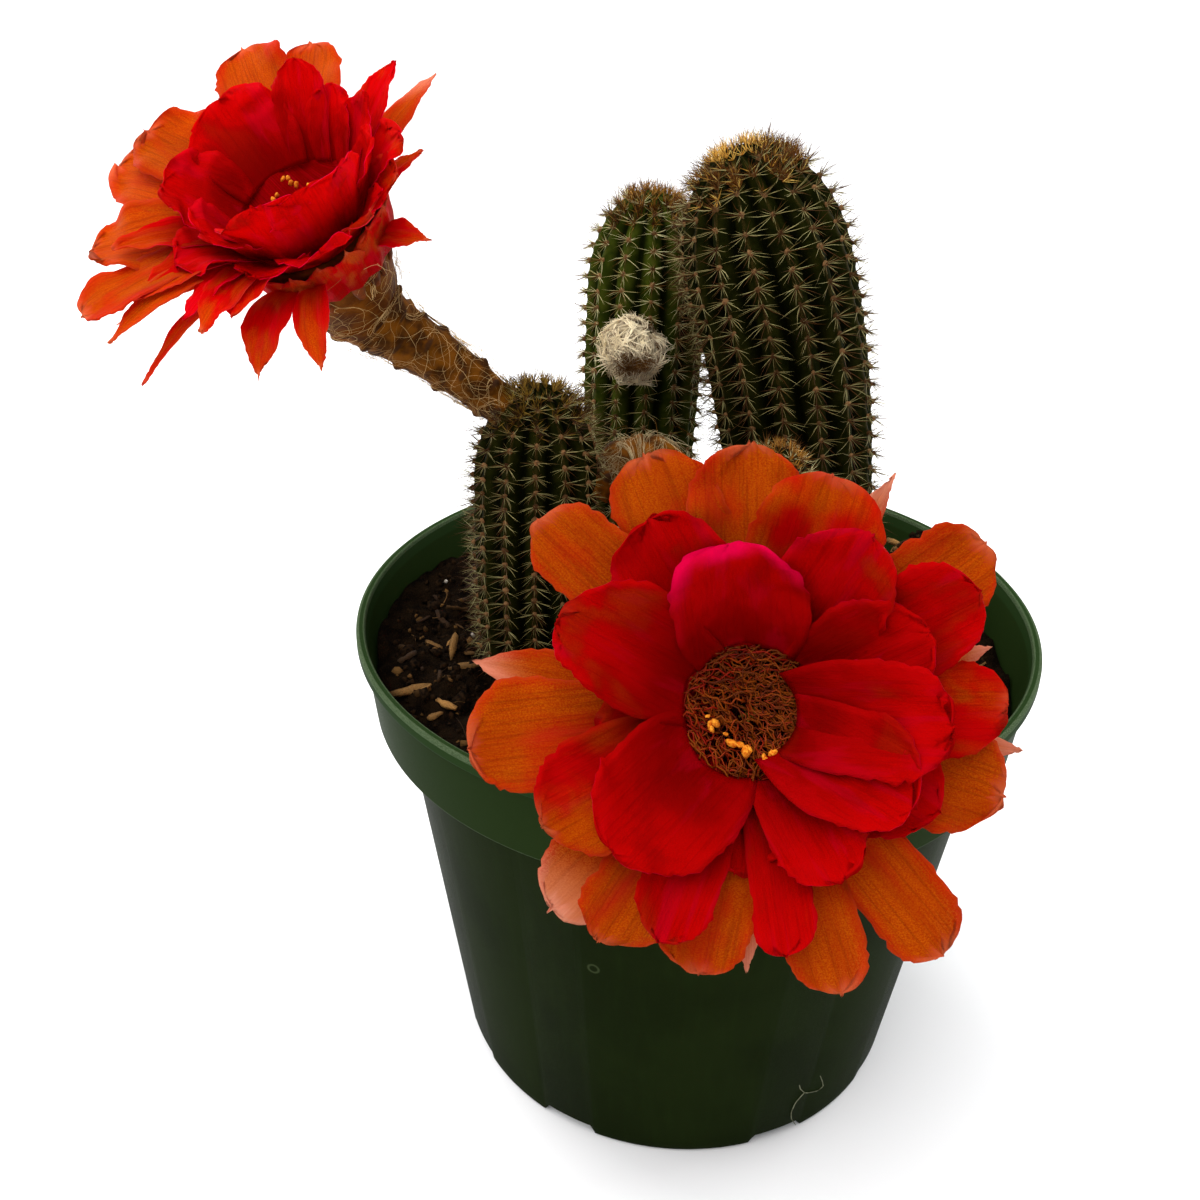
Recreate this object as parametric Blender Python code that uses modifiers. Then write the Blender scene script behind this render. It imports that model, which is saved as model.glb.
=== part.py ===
"""A peanut cactus in a round nursery pot: potting mix, three ribbed stems, a young offset, one woolly
bud and two open flowers on hairy tubes.

Design values are in millimetres and degrees, and become metres where a mesh is made. The origin is the
centre of the pot's base. +X points to the viewer's right, +Y away from the viewer and +Z up.
"""

import math
import random

import bmesh
import bpy
from mathutils import Matrix, Vector

MM = 0.001
CLEARANCE = 0.3

# Pot
POT_HEIGHT = 80.0
POT_SIDES = 48
LIP_RADIUS = 52.5
LIP_HEIGHT = 2.0
LIP_WIDTH = 1.4
BAND_TOP_RADIUS = 51.4
BAND_RADIUS = 50.2
BAND_FOOT = 66.0
BODY_TOP_RADIUS = 46.0
BASE_RADIUS = 37.3
WALL = 1.2
FLOOR = 1.6
NOTCH_WIDTH = 9.0
NOTCH_HEIGHT = 2.2
NOTCH_REACH = 12.0
NOTCH_ANGLES = [quarter * 90 + offset for quarter in range(4) for offset in (-61, -26)]

# Potting mix
SOIL_SIDES = 36
SOIL_LEVEL = 72.4
SOIL_RINGS = (44.0, 36.5, 28.0, 19.0, 9.5)
BARK_CHIPS = 18
BARK_SIZE = (5.6, 2.4, 2.0)
CLUMP_PLACE = (38.5, 25.5)
CLUMP_HEIGHT = 10.5
CLUMP_SPREAD = 46
STEM_ROOM = 0.7
HOLE_SIDES = 14

# Stems: root tip, knee of the axis and crown, then radius, number of ribs, spacing of the spines
STEMS = {
    "stem_left": ((-23.6, -7.4, 52), (-24.9, -7.8, 88), (-23.4, -8.0, 118.3), 8.9, 13, 8.6),
    "stem_middle": ((-11.0, 24.5, 50), (-11.6, 25.5, 100), (-9.9, 25.6, 137.8), 9.5, 13, 8.8),
    "stem_right": ((18.0, 16.2, 48), (18.6, 15.6, 108), (1.9, 10.8, 147.2), 12.2, 15, 9.6),
    "offset": ((10.8, -5.0, 58), (10.2, -5.2, 90), (9.3, -5.2, 110.6), 5.4, 8, 7.0),
}
RIB_DEPTH = 0.17
DOME_LENGTH = 1.7
ROW_SPACING = 8.0
SPINE_LENGTH = 2.5
SPINE_RADIUS = 0.42
SPINE_ROOT = 0.9

# Flower tubes: a smooth path of four points, its radius at the stem, half way and at the flower
TUBE_SIDES = 12
TUBE_RADII = (2.7, 4.0, 6.5)

# The funnel above the tube, as two cups that nest and carry the petals
FUNNEL = 14.0
CUP_SIDES = 14
CUP_WALL = 1.1
CUP_FLOOR = 1.0
CUP_FLOOR_RADIUS = 6.5
OUTER_MOUTH = (9.3, 0.0)
INNER_MOUTH = (8.4, 2.0)

# Petals
PETAL_THICKNESS = 0.7
ROOT_LIFT = 62.0
PETAL_ROWS = (0.0, 0.36, 0.66, 0.9)

# The four whorls from the outermost: radius and height of their roots, and how far the blades are cupped
WHORLS = {
    "under": (8.5, -3.4, 0.15),
    "outer": (8.7, -0.8, 0.3),
    "lower_inner": (7.9, 0.5, 0.6),
    "inner": (7.65, 1.75, 0.9),
}

# Each petal has the angle round its flower, its reach, its width and the lift of its tip
FRONT_CENTRE = (7.3, -50.0, 94.0)
FRONT_FACING = (-0.045, -0.832, 0.553)
FRONT_PETALS = {
    "under": (
        (114, 32, 11.5, -6),
        (64, 31, 5, -10),
        (20, 28, 6, -10),
        (-1, 31, 5, -8),
        (-20, 28.5, 12, -4),
        (-44, 33, 10.5, -5),
        (-86, 28, 5, -12),
        (-97, 29.5, 11, -6),
        (-136, 32.5, 9.5, -6),
        (175, 32, 7, -8),
    ),
    "outer": (
        (142, 33, 10.5, 1),
        (95, 31, 13.5, 3),
        (43, 31.5, 11.5, 2),
        (10, 28, 11.5, 2),
        (-70, 32, 9, 2),
        (-118, 31, 11, 3),
        (-165, 32, 11.5, 2),
    ),
    "lower_inner": (
        (122, 24, 12, 18),
        (73, 28, 13.5, 12),
        (34, 27, 11, 16),
        (-26, 22, 12, 20),
        (-75, 26.5, 8.5, 15),
        (-104, 27, 11.5, 18),
        (-146, 26, 11, 16),
    ),
    "inner": (
        (155, 22.5, 13.5, 28),
        (97, 18.5, 14.5, 42),
        (64, 23, 13, 36),
        (4, 22, 13, 34),
        (-50, 21, 9.5, 36),
        (-130, 21.5, 12, 36),
    ),
}

# The left flower is smaller and less open
LEFT_CENTRE = (-50.4, -20.6, 143.1)
LEFT_FACING = (-0.21, -0.54, 0.815)
LEFT_PETALS = {
    "under": (
        (110, 23.5, 10, 0),
        (65, 23.5, 4.5, -4),
        (52, 17, 4.5, -12),
        (-3, 18, 5, -12),
        (-56, 25, 5.5, -20),
        (-73, 25, 6, -20),
        (-105, 28, 4.5, -18),
        (-131, 27.5, 8.5, -8),
        (-176, 25.5, 11, -2),
    ),
    "outer": (
        (129, 25, 12, 10),
        (80, 21.5, 5, 10),
        (36, 16, 9.5, 14),
        (-92, 21.5, 7, -6),
        (-116, 28, 7, -3),
        (-150, 25.5, 10, 3),
        (161, 25, 11.5, 8),
    ),
    "lower_inner": (
        (153, 18, 11.5, 24),
        (110, 17, 10, 26),
        (60, 17, 8.5, 30),
        (-8, 13, 8, 34),
        (-75, 14, 8, 30),
        (-145, 16, 10, 24),
        (-176, 17, 9, 20),
    ),
    "inner": (
        (128, 14.5, 9, 52),
        (84, 14, 8, 50),
        (30, 12.5, 8, 58),
        (-38, 11.5, 7, 64),
        (-103, 10.8, 12, 76),
        (-160, 13, 10, 56),
    ),
}

# Stamens and pistil
STYLE_HOLE = 1.3
PAD_TOP = -4.0
FILAMENT_LENGTH = 6.2
FILAMENT_RINGS = ((2.3, 0.05, 6), (3.6, 0.16, 8), (4.9, 0.27, 11))
STIGMA_HEIGHT = 3.4
STIGMA_LOBES = 7

# Woolly bud on the middle stem
BUD_CENTRE = (-11.8, 12.6, 116.8)
BUD_RADIUS = 4.9
BUD_TUFT = 0.5

COLOURS = {
    "pot": ((0.012, 0.045, 0.018), 0.42),
    "soil": ((0.020, 0.014, 0.010), 0.95),
    "stem": ((0.045, 0.085, 0.025), 0.6),
    "wool": ((0.52, 0.44, 0.32), 0.95),
    "tube": ((0.17, 0.14, 0.06), 0.85),
    "outer_petals": ((0.80, 0.16, 0.02), 0.5),
    "inner_petals": ((0.55, 0.005, 0.008), 0.5),
    "stamens": ((0.42, 0.16, 0.03), 0.7),
    "pistil": ((0.40, 0.42, 0.18), 0.6),
}


def clear_scene():
    for old in list(bpy.data.objects):
        bpy.data.objects.remove(old)


def new_collection(name):
    collection = bpy.data.collections.new(name)
    bpy.context.scene.collection.children.link(collection)
    return collection


def material(name):
    """The Principled material of one finish, made once."""
    if name in bpy.data.materials:
        return bpy.data.materials[name]
    colour, roughness = COLOURS[name]
    made = bpy.data.materials.new(name)
    made.use_nodes = True
    shader = made.node_tree.nodes["Principled BSDF"]
    shader.inputs["Base Color"].default_value = (*colour, 1)
    shader.inputs["Roughness"].default_value = roughness
    shader.inputs["Metallic"].default_value = 0.0
    return made


def new_object(name, bm, collection, finish):
    """An object from a mesh drawn in millimetres."""
    bmesh.ops.scale(bm, vec=(MM, MM, MM), verts=bm.verts)
    mesh = bpy.data.meshes.new(name)
    bm.to_mesh(mesh)
    bm.free()
    made = bpy.data.objects.new(name, mesh)
    mesh.materials.append(material(finish))
    collection.objects.link(made)
    return made


def freeze(made):
    """Puts an object's modifiers into its mesh."""
    graph = bpy.context.evaluated_depsgraph_get()
    solid = bpy.data.meshes.new_from_object(made.evaluated_get(graph))
    made.modifiers.clear()
    made.data = solid


def cut(made, cutters):
    """Takes each cutter out of an object and hides the cutter."""
    for cutter in cutters:
        cutter.hide_render = True
        cutter.display_type = "WIRE"
        boolean = made.modifiers.new("cut_" + cutter.name, "BOOLEAN")
        boolean.object = cutter
        boolean.operation = "DIFFERENCE"
        boolean.solver = "EXACT"
    freeze(made)


def join(made, pieces):
    """Unites an object with small pieces whose roots are sunk in it, and removes the pieces."""
    batch = new_collection("batch")
    for piece in pieces:
        for home in list(piece.users_collection):
            home.objects.unlink(piece)
        batch.objects.link(piece)
    boolean = made.modifiers.new("join", "BOOLEAN")
    boolean.operand_type = "COLLECTION"
    boolean.collection = batch
    boolean.operation = "UNION"
    boolean.solver = "MANIFOLD"
    freeze(made)
    for piece in pieces:
        bpy.data.objects.remove(piece)
    bpy.data.collections.remove(batch)


def bridge(bm, low, high):
    """Faces between two closed rings of as many points."""
    for i in range(len(low)):
        j = (i + 1) % len(low)
        bm.faces.new((low[i], low[j], high[j], high[i]))


def fan(bm, ring, tip):
    for i in range(len(ring)):
        bm.faces.new((ring[i], ring[(i + 1) % len(ring)], tip))


def close_up(bm):
    """Splits faces into triangles and turns them all outwards."""
    bmesh.ops.triangulate(bm, faces=bm.faces)
    bmesh.ops.recalc_face_normals(bm, faces=bm.faces)


def bezier(points, u):
    """Point and direction at u, from 0 to 1, on a Bezier curve through its first and last point."""
    points = [Vector(p) for p in points]
    while len(points) > 2:
        points = [a.lerp(b, u) for a, b in zip(points, points[1:])]
    return points[0].lerp(points[1], u), (points[1] - points[0]).normalized()


def ring_frame(direction):
    """Two directions square to the given one, the first as near to +X as it can be."""
    across = Vector((1, 0, 0)) if abs(direction.x) < 0.9 else Vector((0, 1, 0))
    first = (across - direction * across.dot(direction)).normalized()
    return first, direction.cross(first)


def loft(bm, stations, sides):
    """A closed round tube through stations of (centre, direction, radius)."""
    rings = []
    first = None
    for centre, direction, radius in stations:
        if first is None:
            first = ring_frame(direction)[0]
        first = (first - direction * first.dot(direction)).normalized()
        second = direction.cross(first)
        ring = []
        for i in range(sides):
            turn = 2 * math.pi * i / sides
            ring.append(bm.verts.new(centre + radius * (math.cos(turn) * first + math.sin(turn) * second)))
        rings.append(ring)
    for low, high in zip(rings, rings[1:]):
        bridge(bm, low, high)
    bm.faces.new(rings[0])
    bm.faces.new(rings[-1])
    close_up(bm)


def turned(name, profile, sides, collection, finish, place=None):
    """A profile of (radius, height) turned round +Z, running down its outer side. It may end where it began."""
    bm = bmesh.new()
    ring = profile[0] == profile[-1]
    points = [bm.verts.new((radius, 0, height)) for radius, height in profile[: -1 if ring else None]]
    points += points[:1] if ring else []
    for a, b in zip(points, points[1:]):
        bm.edges.new((a, b))
    made = new_object(name, bm, collection, finish)
    screw = made.modifiers.new("turn", "SCREW")
    screw.steps = screw.render_steps = sides
    screw.use_merge_vertices = True
    screw.merge_threshold = 0.00001
    freeze(made)
    if place:
        made.data.transform(place)
    return made


# The pot

def inner_wall(height):
    """Inner radius of the pot's band at a height."""
    share = (height - BAND_FOOT) / (POT_HEIGHT - BAND_FOOT)
    return BAND_RADIUS - WALL + share * (LIP_RADIUS - LIP_WIDTH - BAND_RADIUS + WALL)


def make_pot(parts, cutters):
    band_floor = BAND_FOOT + WALL
    lip_foot = POT_HEIGHT - LIP_HEIGHT
    profile = [
        (0, FLOOR),
        (BASE_RADIUS - WALL, FLOOR),
        (BODY_TOP_RADIUS - WALL, band_floor),
        (inner_wall(band_floor), band_floor),
        (LIP_RADIUS - LIP_WIDTH, POT_HEIGHT),
        (LIP_RADIUS, POT_HEIGHT),
        (LIP_RADIUS, lip_foot),
        (BAND_TOP_RADIUS, lip_foot - 0.4),
        (BAND_RADIUS, BAND_FOOT + WALL),
        (BAND_RADIUS, BAND_FOOT),
        (BODY_TOP_RADIUS, BAND_FOOT),
        (BASE_RADIUS, 0),
        (0, 0),
    ]
    pot = turned("pot", profile, POT_SIDES, parts, "pot")
    notches = []
    for number, angle in enumerate(NOTCH_ANGLES):
        bm = bmesh.new()
        bmesh.ops.create_cube(bm, size=1)
        bmesh.ops.scale(bm, vec=(NOTCH_REACH, NOTCH_WIDTH, 2 * NOTCH_HEIGHT), verts=bm.verts)
        turn = Matrix.Rotation(math.radians(angle), 4, "Z")
        bmesh.ops.transform(bm, matrix=turn @ Matrix.Translation((BASE_RADIUS, 0, 0)), verts=bm.verts)
        notches.append(new_object(f"notch_{number + 1}", bm, cutters, "pot"))
    cut(pot, notches)
    return pot


# The potting mix

def ground(x, y):
    """Height of the potting mix, a little lower at the right, with one clump against the back wall."""
    level = SOIL_LEVEL - 0.03 * x
    waves = 0.9 * math.sin(0.23 * x + 1.0) * math.cos(0.19 * y) + 0.5 * math.sin(0.52 * x - 0.43 * y)
    away = (x - CLUMP_PLACE[0]) ** 2 + (y - CLUMP_PLACE[1]) ** 2
    return level + waves + CLUMP_HEIGHT * math.exp(-away / CLUMP_SPREAD)


def ring_points(bm, sides, place):
    """A ring of points, each placed by its angle."""
    return [bm.verts.new(place(2 * math.pi * i / sides)) for i in range(sides)]


def make_soil(parts, cutters):
    low = FLOOR + CLEARANCE
    step = BAND_FOOT + WALL + CLEARANCE
    bottom = BASE_RADIUS - WALL - 1.5 * CLEARANCE
    shoulder = BODY_TOP_RADIUS - WALL - 1.5 * CLEARANCE
    ledge = inner_wall(step) - 1.5 * CLEARANCE

    def flat_ring(radius, height):
        return lambda turn: (radius * math.cos(turn), radius * math.sin(turn), height)

    def rim(turn):
        radius = ledge
        for _ in range(3):
            height = ground(radius * math.cos(turn), radius * math.sin(turn))
            radius = inner_wall(min(height, POT_HEIGHT)) - 1.5 * CLEARANCE
        return radius * math.cos(turn), radius * math.sin(turn), height

    def surface(radius):
        def place(turn):
            x, y = radius * math.cos(turn), radius * math.sin(turn)
            return x, y, ground(x, y)

        return place

    bm = bmesh.new()
    rings = [ring_points(bm, SOIL_SIDES, flat_ring(bottom, low))]
    rings.append(ring_points(bm, SOIL_SIDES, flat_ring(shoulder, step)))
    rings.append(ring_points(bm, SOIL_SIDES, flat_ring(ledge, step)))
    rings.append(ring_points(bm, SOIL_SIDES, rim))
    for radius in SOIL_RINGS:
        rings.append(ring_points(bm, SOIL_SIDES, surface(radius)))
    for lower, upper in zip(rings, rings[1:]):
        bridge(bm, lower, upper)
    fan(bm, rings[-1], bm.verts.new((0, 0, ground(0, 0))))
    bm.faces.new(rings[0])
    close_up(bm)
    soil = new_object("soil", bm, parts, "soil")
    join(soil, bark_chips(parts))
    cut(soil, [stem_hole(name, cutters) for name in STEMS])
    return soil


def bark_chips(parts):
    """Slivers of bark lying half sunk in the mix, clear of the stems and the pot's wall."""
    draw = random.Random(7)
    chips = []
    while len(chips) < BARK_CHIPS:
        x, y = draw.uniform(-44, 44), draw.uniform(-44, 44)
        taken = [bezier(stem[:3], 0.3)[0].xy for stem in STEMS.values()] + [Vector(CLUMP_PLACE)]
        if math.hypot(x, y) > 43 or min((Vector((x, y)) - spot).length for spot in taken) < 15:
            continue
        size = draw.uniform(0.7, 1.3)
        bm = bmesh.new()
        bmesh.ops.create_cube(bm, size=size)
        bmesh.ops.scale(bm, vec=BARK_SIZE, verts=bm.verts)
        turn = Matrix.Rotation(draw.uniform(0, math.pi), 4, "Z")
        tilt = Matrix.Rotation(draw.uniform(-0.4, 0.4), 4, "Y")
        place = Matrix.Translation((x, y, ground(x, y)))
        bmesh.ops.transform(bm, matrix=place @ turn @ tilt, verts=bm.verts)
        chips.append(new_object(f"chip_{len(chips) + 1}", bm, parts, "soil"))
    return chips


# The stems

def smooth(low, high, value):
    share = min(max((value - low) / (high - low), 0), 1)
    return share * share * (3 - 2 * share)


def dome_start(stem):
    """Where a stem begins to narrow to its crown."""
    root, _, crown, radius, _, _ = stem
    return 1 - DOME_LENGTH * radius / (Vector(crown) - Vector(root)).length


def girth(stem, u):
    """Radius over the ribs at u, from the root tip at 0 to the crown at 1."""
    radius = stem[3]
    start = dome_start(stem)
    side = 0.55 + 0.37 * smooth(0, 0.2, u) + 0.08 * smooth(0.25, 0.7, u)
    dome = max(u - start, 0) / (1 - start)
    return radius * side * math.sqrt(max(1 - dome * dome, 0))


def soil_share(stem):
    """Where on its axis a stem comes out of the potting mix."""
    for step in range(100):
        point = bezier(stem[:3], step / 100)[0]
        if point.z > ground(point.x, point.y):
            return step / 100
    return 0.0


def stem_rows(stem):
    """Places of the rings: two on the buried root, then evenly up the side and closer over the dome."""
    buried = soil_share(stem)
    start = dome_start(stem)
    length = (Vector(stem[2]) - Vector(stem[0])).length
    count = max(round((start - buried) * length / ROW_SPACING), 2)
    rows = [0.0, buried * 0.5]
    rows += [buried * 0.85 + (start - buried * 0.85) * i / count for i in range(count + 1)]
    rows += [start + (1 - start) * math.sin(math.radians(angle)) for angle in (30, 52, 72)]
    return rows


def make_stem(name, parts, sockets, bare):
    """A ribbed stem with spines. Sockets are cut in it, and no spine grows within reach of a bare spot."""
    stem = STEMS[name]
    ribs = stem[4]
    buried = soil_share(stem)
    bm = bmesh.new()
    rings = []
    for u in stem_rows(stem):
        centre, direction = bezier(stem[:3], u)
        first, second = ring_frame(direction)
        depth = RIB_DEPTH * smooth(buried * 0.5, buried, u)
        ring = []
        for i in range(2 * ribs):
            turn = math.pi * i / ribs
            radius = girth(stem, u) * (1 - depth * (i % 2))
            ring.append(bm.verts.new(centre + radius * (math.cos(turn) * first + math.sin(turn) * second)))
        rings.append(ring)
    for low, high in zip(rings, rings[1:]):
        bridge(bm, low, high)
    bm.faces.new(rings[0])
    fan(bm, rings[-1], bm.verts.new(bezier(stem[:3], 0.998)[0]))
    close_up(bm)
    made = new_object(name, bm, parts, "stem")
    if sockets:
        cut(made, sockets)
    join(made, spines(name, parts, bare))
    return made


def spines(name, parts, bare):
    """Single spines on the ribs' crests from just over the soil to the crown, each a slim three-sided cone."""
    stem = STEMS[name]
    ribs, spacing = stem[4:]
    length = (Vector(stem[2]) - Vector(stem[0])).length
    lowest = soil_share(stem) + 4.5 / length
    highest = 0.992
    count = round((highest - lowest) * length / spacing)
    draw = random.Random(name)
    made = []
    for rib in range(ribs):
        turn = 2 * math.pi * rib / ribs
        for i in range(count):
            u = lowest + (highest - lowest) * (i + 0.5 * (rib % 2)) / (count - 0.5)
            start, aim = crest(stem, u, turn)
            if any((start - spot).length < reach for spot, reach in bare):
                continue
            splay = Vector((draw.uniform(-1, 1), draw.uniform(-1, 1), draw.uniform(-0.6, 1)))
            aim = (aim + 0.55 * splay).normalized()
            if crowded(start + aim * SPINE_LENGTH, name):
                continue
            made.append(spike(f"{name}_spine_{len(made)}", start, aim, parts))
    return made


def crowded(tip, own):
    """Whether a spine's tip would come to a neighbouring stem."""
    for name, stem in STEMS.items():
        nearest = min((bezier(stem[:3], step / 24)[0] - tip).length for step in range(25))
        if name != own and nearest < stem[3] + 0.8:
            return True
    return False


def crest(stem, u, turn):
    """Point and outward direction on the crest of a rib."""
    centre, direction = bezier(stem[:3], u)
    first, second = ring_frame(direction)
    outward = math.cos(turn) * first + math.sin(turn) * second
    point = centre + girth(stem, u) * outward
    ahead, _ = bezier(stem[:3], min(u + 0.004, 1))
    along = ahead + girth(stem, min(u + 0.004, 1)) * outward - point
    normal = outward - along.normalized() * outward.dot(along.normalized())
    return point, normal.normalized()


def spike(name, start, aim, parts, length=SPINE_LENGTH, radius=SPINE_RADIUS):
    """A three-sided cone standing on a surface with its root sunk in."""
    whole = length + SPINE_ROOT
    bm = bmesh.new()
    bmesh.ops.create_cone(bm, cap_ends=True, segments=3, radius1=radius, radius2=0, depth=whole)
    centre = start + aim * (whole / 2 - SPINE_ROOT)
    place = Matrix.Translation(centre) @ aim.to_track_quat("Z", "X").to_matrix().to_4x4()
    bmesh.ops.transform(bm, matrix=place, verts=bm.verts)
    return new_object(name, bm, parts, "stem")


def stem_hole(name, cutters):
    """A plain round hole that a stem's buried foot stands in."""
    stem = STEMS[name]
    room = CLEARANCE + 0.1
    buried = soil_share(stem)
    stations = []
    for u in (0, buried * 0.4, buried * 0.85, buried + 0.14):
        centre, direction = bezier(stem[:3], u)
        stations.append((centre - direction * (room if u == 0 else 0), direction, girth(stem, u) + STEM_ROOM))
    bm = bmesh.new()
    loft(bm, stations, HOLE_SIDES)
    return new_object(name + "_hole", bm, cutters, "soil")


# The woolly bud

def make_bud(parts):
    """A ball of wool whose surface is raised in tufts."""
    draw = random.Random(3)
    bm = bmesh.new()
    bmesh.ops.create_icosphere(bm, subdivisions=3, radius=BUD_RADIUS)
    for vertex in bm.verts:
        vertex.co *= 1 + draw.choice((-1, 1)) * BUD_TUFT / BUD_RADIUS
        vertex.co.z *= 1.06
    bmesh.ops.translate(bm, vec=BUD_CENTRE, verts=bm.verts)
    return new_object("bud", bm, parts, "wool")


def bud_socket(cutters):
    bm = bmesh.new()
    bmesh.ops.create_uvsphere(bm, u_segments=14, v_segments=9, radius=BUD_RADIUS * 1.06 + BUD_TUFT + CLEARANCE)
    bmesh.ops.translate(bm, vec=BUD_CENTRE, verts=bm.verts)
    return new_object("bud_socket", bm, cutters, "stem")


# The flowers

def flower_place(centre, facing):
    """Matrix from a flower's own frame, +Z out of the flower and +Y up in it, to the pot's, in metres."""
    axis = Vector(facing).normalized()
    right = Vector((0, 0, 1)).cross(axis).normalized()
    up = axis.cross(right)
    turn = Matrix((right, up, axis)).transposed().to_4x4()
    return Matrix.Translation(Vector(centre) * MM) @ turn


def tube_path(centre, facing, start, first_pull, second_pull):
    """The four points of a flower tube's curve, which ends square to the flower."""
    axis = Vector(facing).normalized()
    end = Vector(centre) - axis * FUNNEL
    return Vector(start), Vector(first_pull), end - axis * second_pull, end


def tube_radius(u):
    """Radius of a flower tube at u, from the stem at 0 to the flower at 1."""
    low, middle, high = TUBE_RADII
    if u < 0.5:
        return low + (middle - low) * 2 * u
    return middle + (high - middle) * (2 * u - 1) ** 1.5


FRONT_PATH = tube_path(FRONT_CENTRE, FRONT_FACING, (-15.8, -6.5, 101.5), (-2, 2, 122), 18)
LEFT_PATH = tube_path(LEFT_CENTRE, LEFT_FACING, (-27.5, -8.6, 114.0), (-36, -8, 122), 6)


def make_tube(name, path, parts):
    """A tapering tube with low knobs, which carry its hair."""
    stations = []
    for step in range(11):
        u = step / 10
        point, direction = bezier(path, u)
        knob = 1 + (0.05 if 0 < step < 10 and step % 2 else 0)
        stations.append((point, direction, tube_radius(u) * knob))
    bm = bmesh.new()
    loft(bm, stations, TUBE_SIDES)
    return new_object(name, bm, parts, "tube")


def tube_socket(name, path, cutters):
    """The room that a flower tube's foot takes out of its stem."""
    stations = []
    for u in (0, 0.1, 0.2, 0.3):
        point, direction = bezier(path, u)
        back = 1.5 * CLEARANCE if u == 0 else 0
        stations.append((point - direction * back, direction, tube_radius(u) * 1.05 + 1.5 * CLEARANCE))
    bm = bmesh.new()
    loft(bm, stations, TUBE_SIDES)
    return new_object(name + "_socket", bm, cutters, "tube")


def outer_cup():
    """Profile of the outer petals' cup, which stands on the end of the tube."""
    low = -FUNNEL + CLEARANCE
    mouth_radius, mouth = OUTER_MOUTH
    return [
        (0, low + CUP_FLOOR),
        (CUP_FLOOR_RADIUS - CUP_WALL, low + CUP_FLOOR),
        (mouth_radius - CUP_WALL, mouth),
        (mouth_radius, mouth),
        (CUP_FLOOR_RADIUS, low),
        (0, low),
    ]


def inner_cup():
    """Profile of the inner petals' cup, which stands in the outer one."""
    _, foot, mouth, _, _, _ = outer_cup()
    low = foot[1] + CLEARANCE
    room = 1.3 * CLEARANCE
    return [
        (0, low + CUP_FLOOR),
        (foot[0] - room - CUP_WALL, low + CUP_FLOOR),
        (INNER_MOUTH[0] - CUP_WALL, INNER_MOUTH[1]),
        INNER_MOUTH,
        (mouth[0] - room, mouth[1]),
        (foot[0] - room, low),
        (0, low),
    ]


def petal_line(root_radius, root_height, reach, lift, steps=24):
    """Middle line of a petal as (radius, height, lift) from its root to its tip, bending early."""
    share = [(i + 0.5) / steps for i in range(steps)]
    lifts = [math.radians(lift + (ROOT_LIFT - lift) * (1 - s) ** 2) for s in share]
    step = (reach - root_radius) / sum(math.cos(b) for b in lifts)
    line = [(root_radius, root_height, lifts[0])]
    for b in lifts:
        radius, height, _ = line[-1]
        line.append((radius + step * math.cos(b), height + step * math.sin(b), b))
    return line


def petal_width(s):
    """Share of a petal's full width at s: a narrow root, widest at seven tenths, then round to the tip."""
    rise = 0.24 + 0.76 * math.sin(math.pi / 2 * min(s / 0.68, 1)) ** 1.5
    fall = math.sqrt(max(1 - (max(s - 0.68, 0) / 0.32) ** 2.4, 0))
    return rise * fall


def petal(name, spec, whorl, place, finish, parts):
    """One blade of even thickness, cupped a little: three points across, four rows and a pointed tip."""
    angle, reach, width, lift = spec
    root_radius, root_height, cupping = WHORLS[whorl]
    line = petal_line(root_radius, root_height, reach, lift)
    turn = math.radians(angle)
    outward = Vector((math.cos(turn), math.sin(turn), 0))
    side = Vector((-math.sin(turn), math.cos(turn), 0))
    axis = Vector((0, 0, 1))
    bm = bmesh.new()
    faces = []
    for sign in (1, -1):
        rows = []
        for s in PETAL_ROWS:
            radius, height, b = line[round(s * (len(line) - 1))]
            up = axis * math.cos(b) - outward * math.sin(b)
            middle = outward * radius + axis * height + up * sign * PETAL_THICKNESS / 2
            half = width / 2 * petal_width(s)
            raised = up * cupping * half * half / width
            rows.append([bm.verts.new(middle + t * half * side + abs(t) * raised) for t in (-1, 0, 1)])
        radius, height, b = line[-1]
        up = axis * math.cos(b) - outward * math.sin(b)
        tip = bm.verts.new(outward * radius + axis * height + up * sign * PETAL_THICKNESS / 2)
        faces.append((rows, tip))
    for rows, tip in faces:
        for low, high in zip(rows, rows[1:]):
            for i in range(2):
                bm.faces.new((low[i], low[i + 1], high[i + 1], high[i]))
        for i in range(2):
            bm.faces.new((rows[-1][i], rows[-1][i + 1], tip))
    edges = []
    for rows, tip in faces:
        edges.append([row[0] for row in rows] + [tip] + [row[2] for row in reversed(rows)] + [rows[0][1]])
    bridge(bm, *edges)
    bmesh.ops.triangulate(bm, faces=bm.faces, quad_method="FIXED")
    bmesh.ops.recalc_face_normals(bm, faces=bm.faces)
    made = new_object(name, bm, parts, finish)
    made.data.transform(place)
    return made


def make_petals(name, petals, whorls, profile, place, parts):
    """A cup with the petals of two whorls standing in its wall, as one body."""
    finish = name.split("_", 2)[2]
    cup = turned(name, profile, CUP_SIDES, parts, finish, place)
    blades = []
    for whorl in whorls:
        for spec in petals[whorl]:
            label = f"{name}_{whorl}_{len(blades) + 1}"
            blades.append(petal(label, spec, whorl, place, finish, parts))
    join(cup, blades)
    return cup


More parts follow.
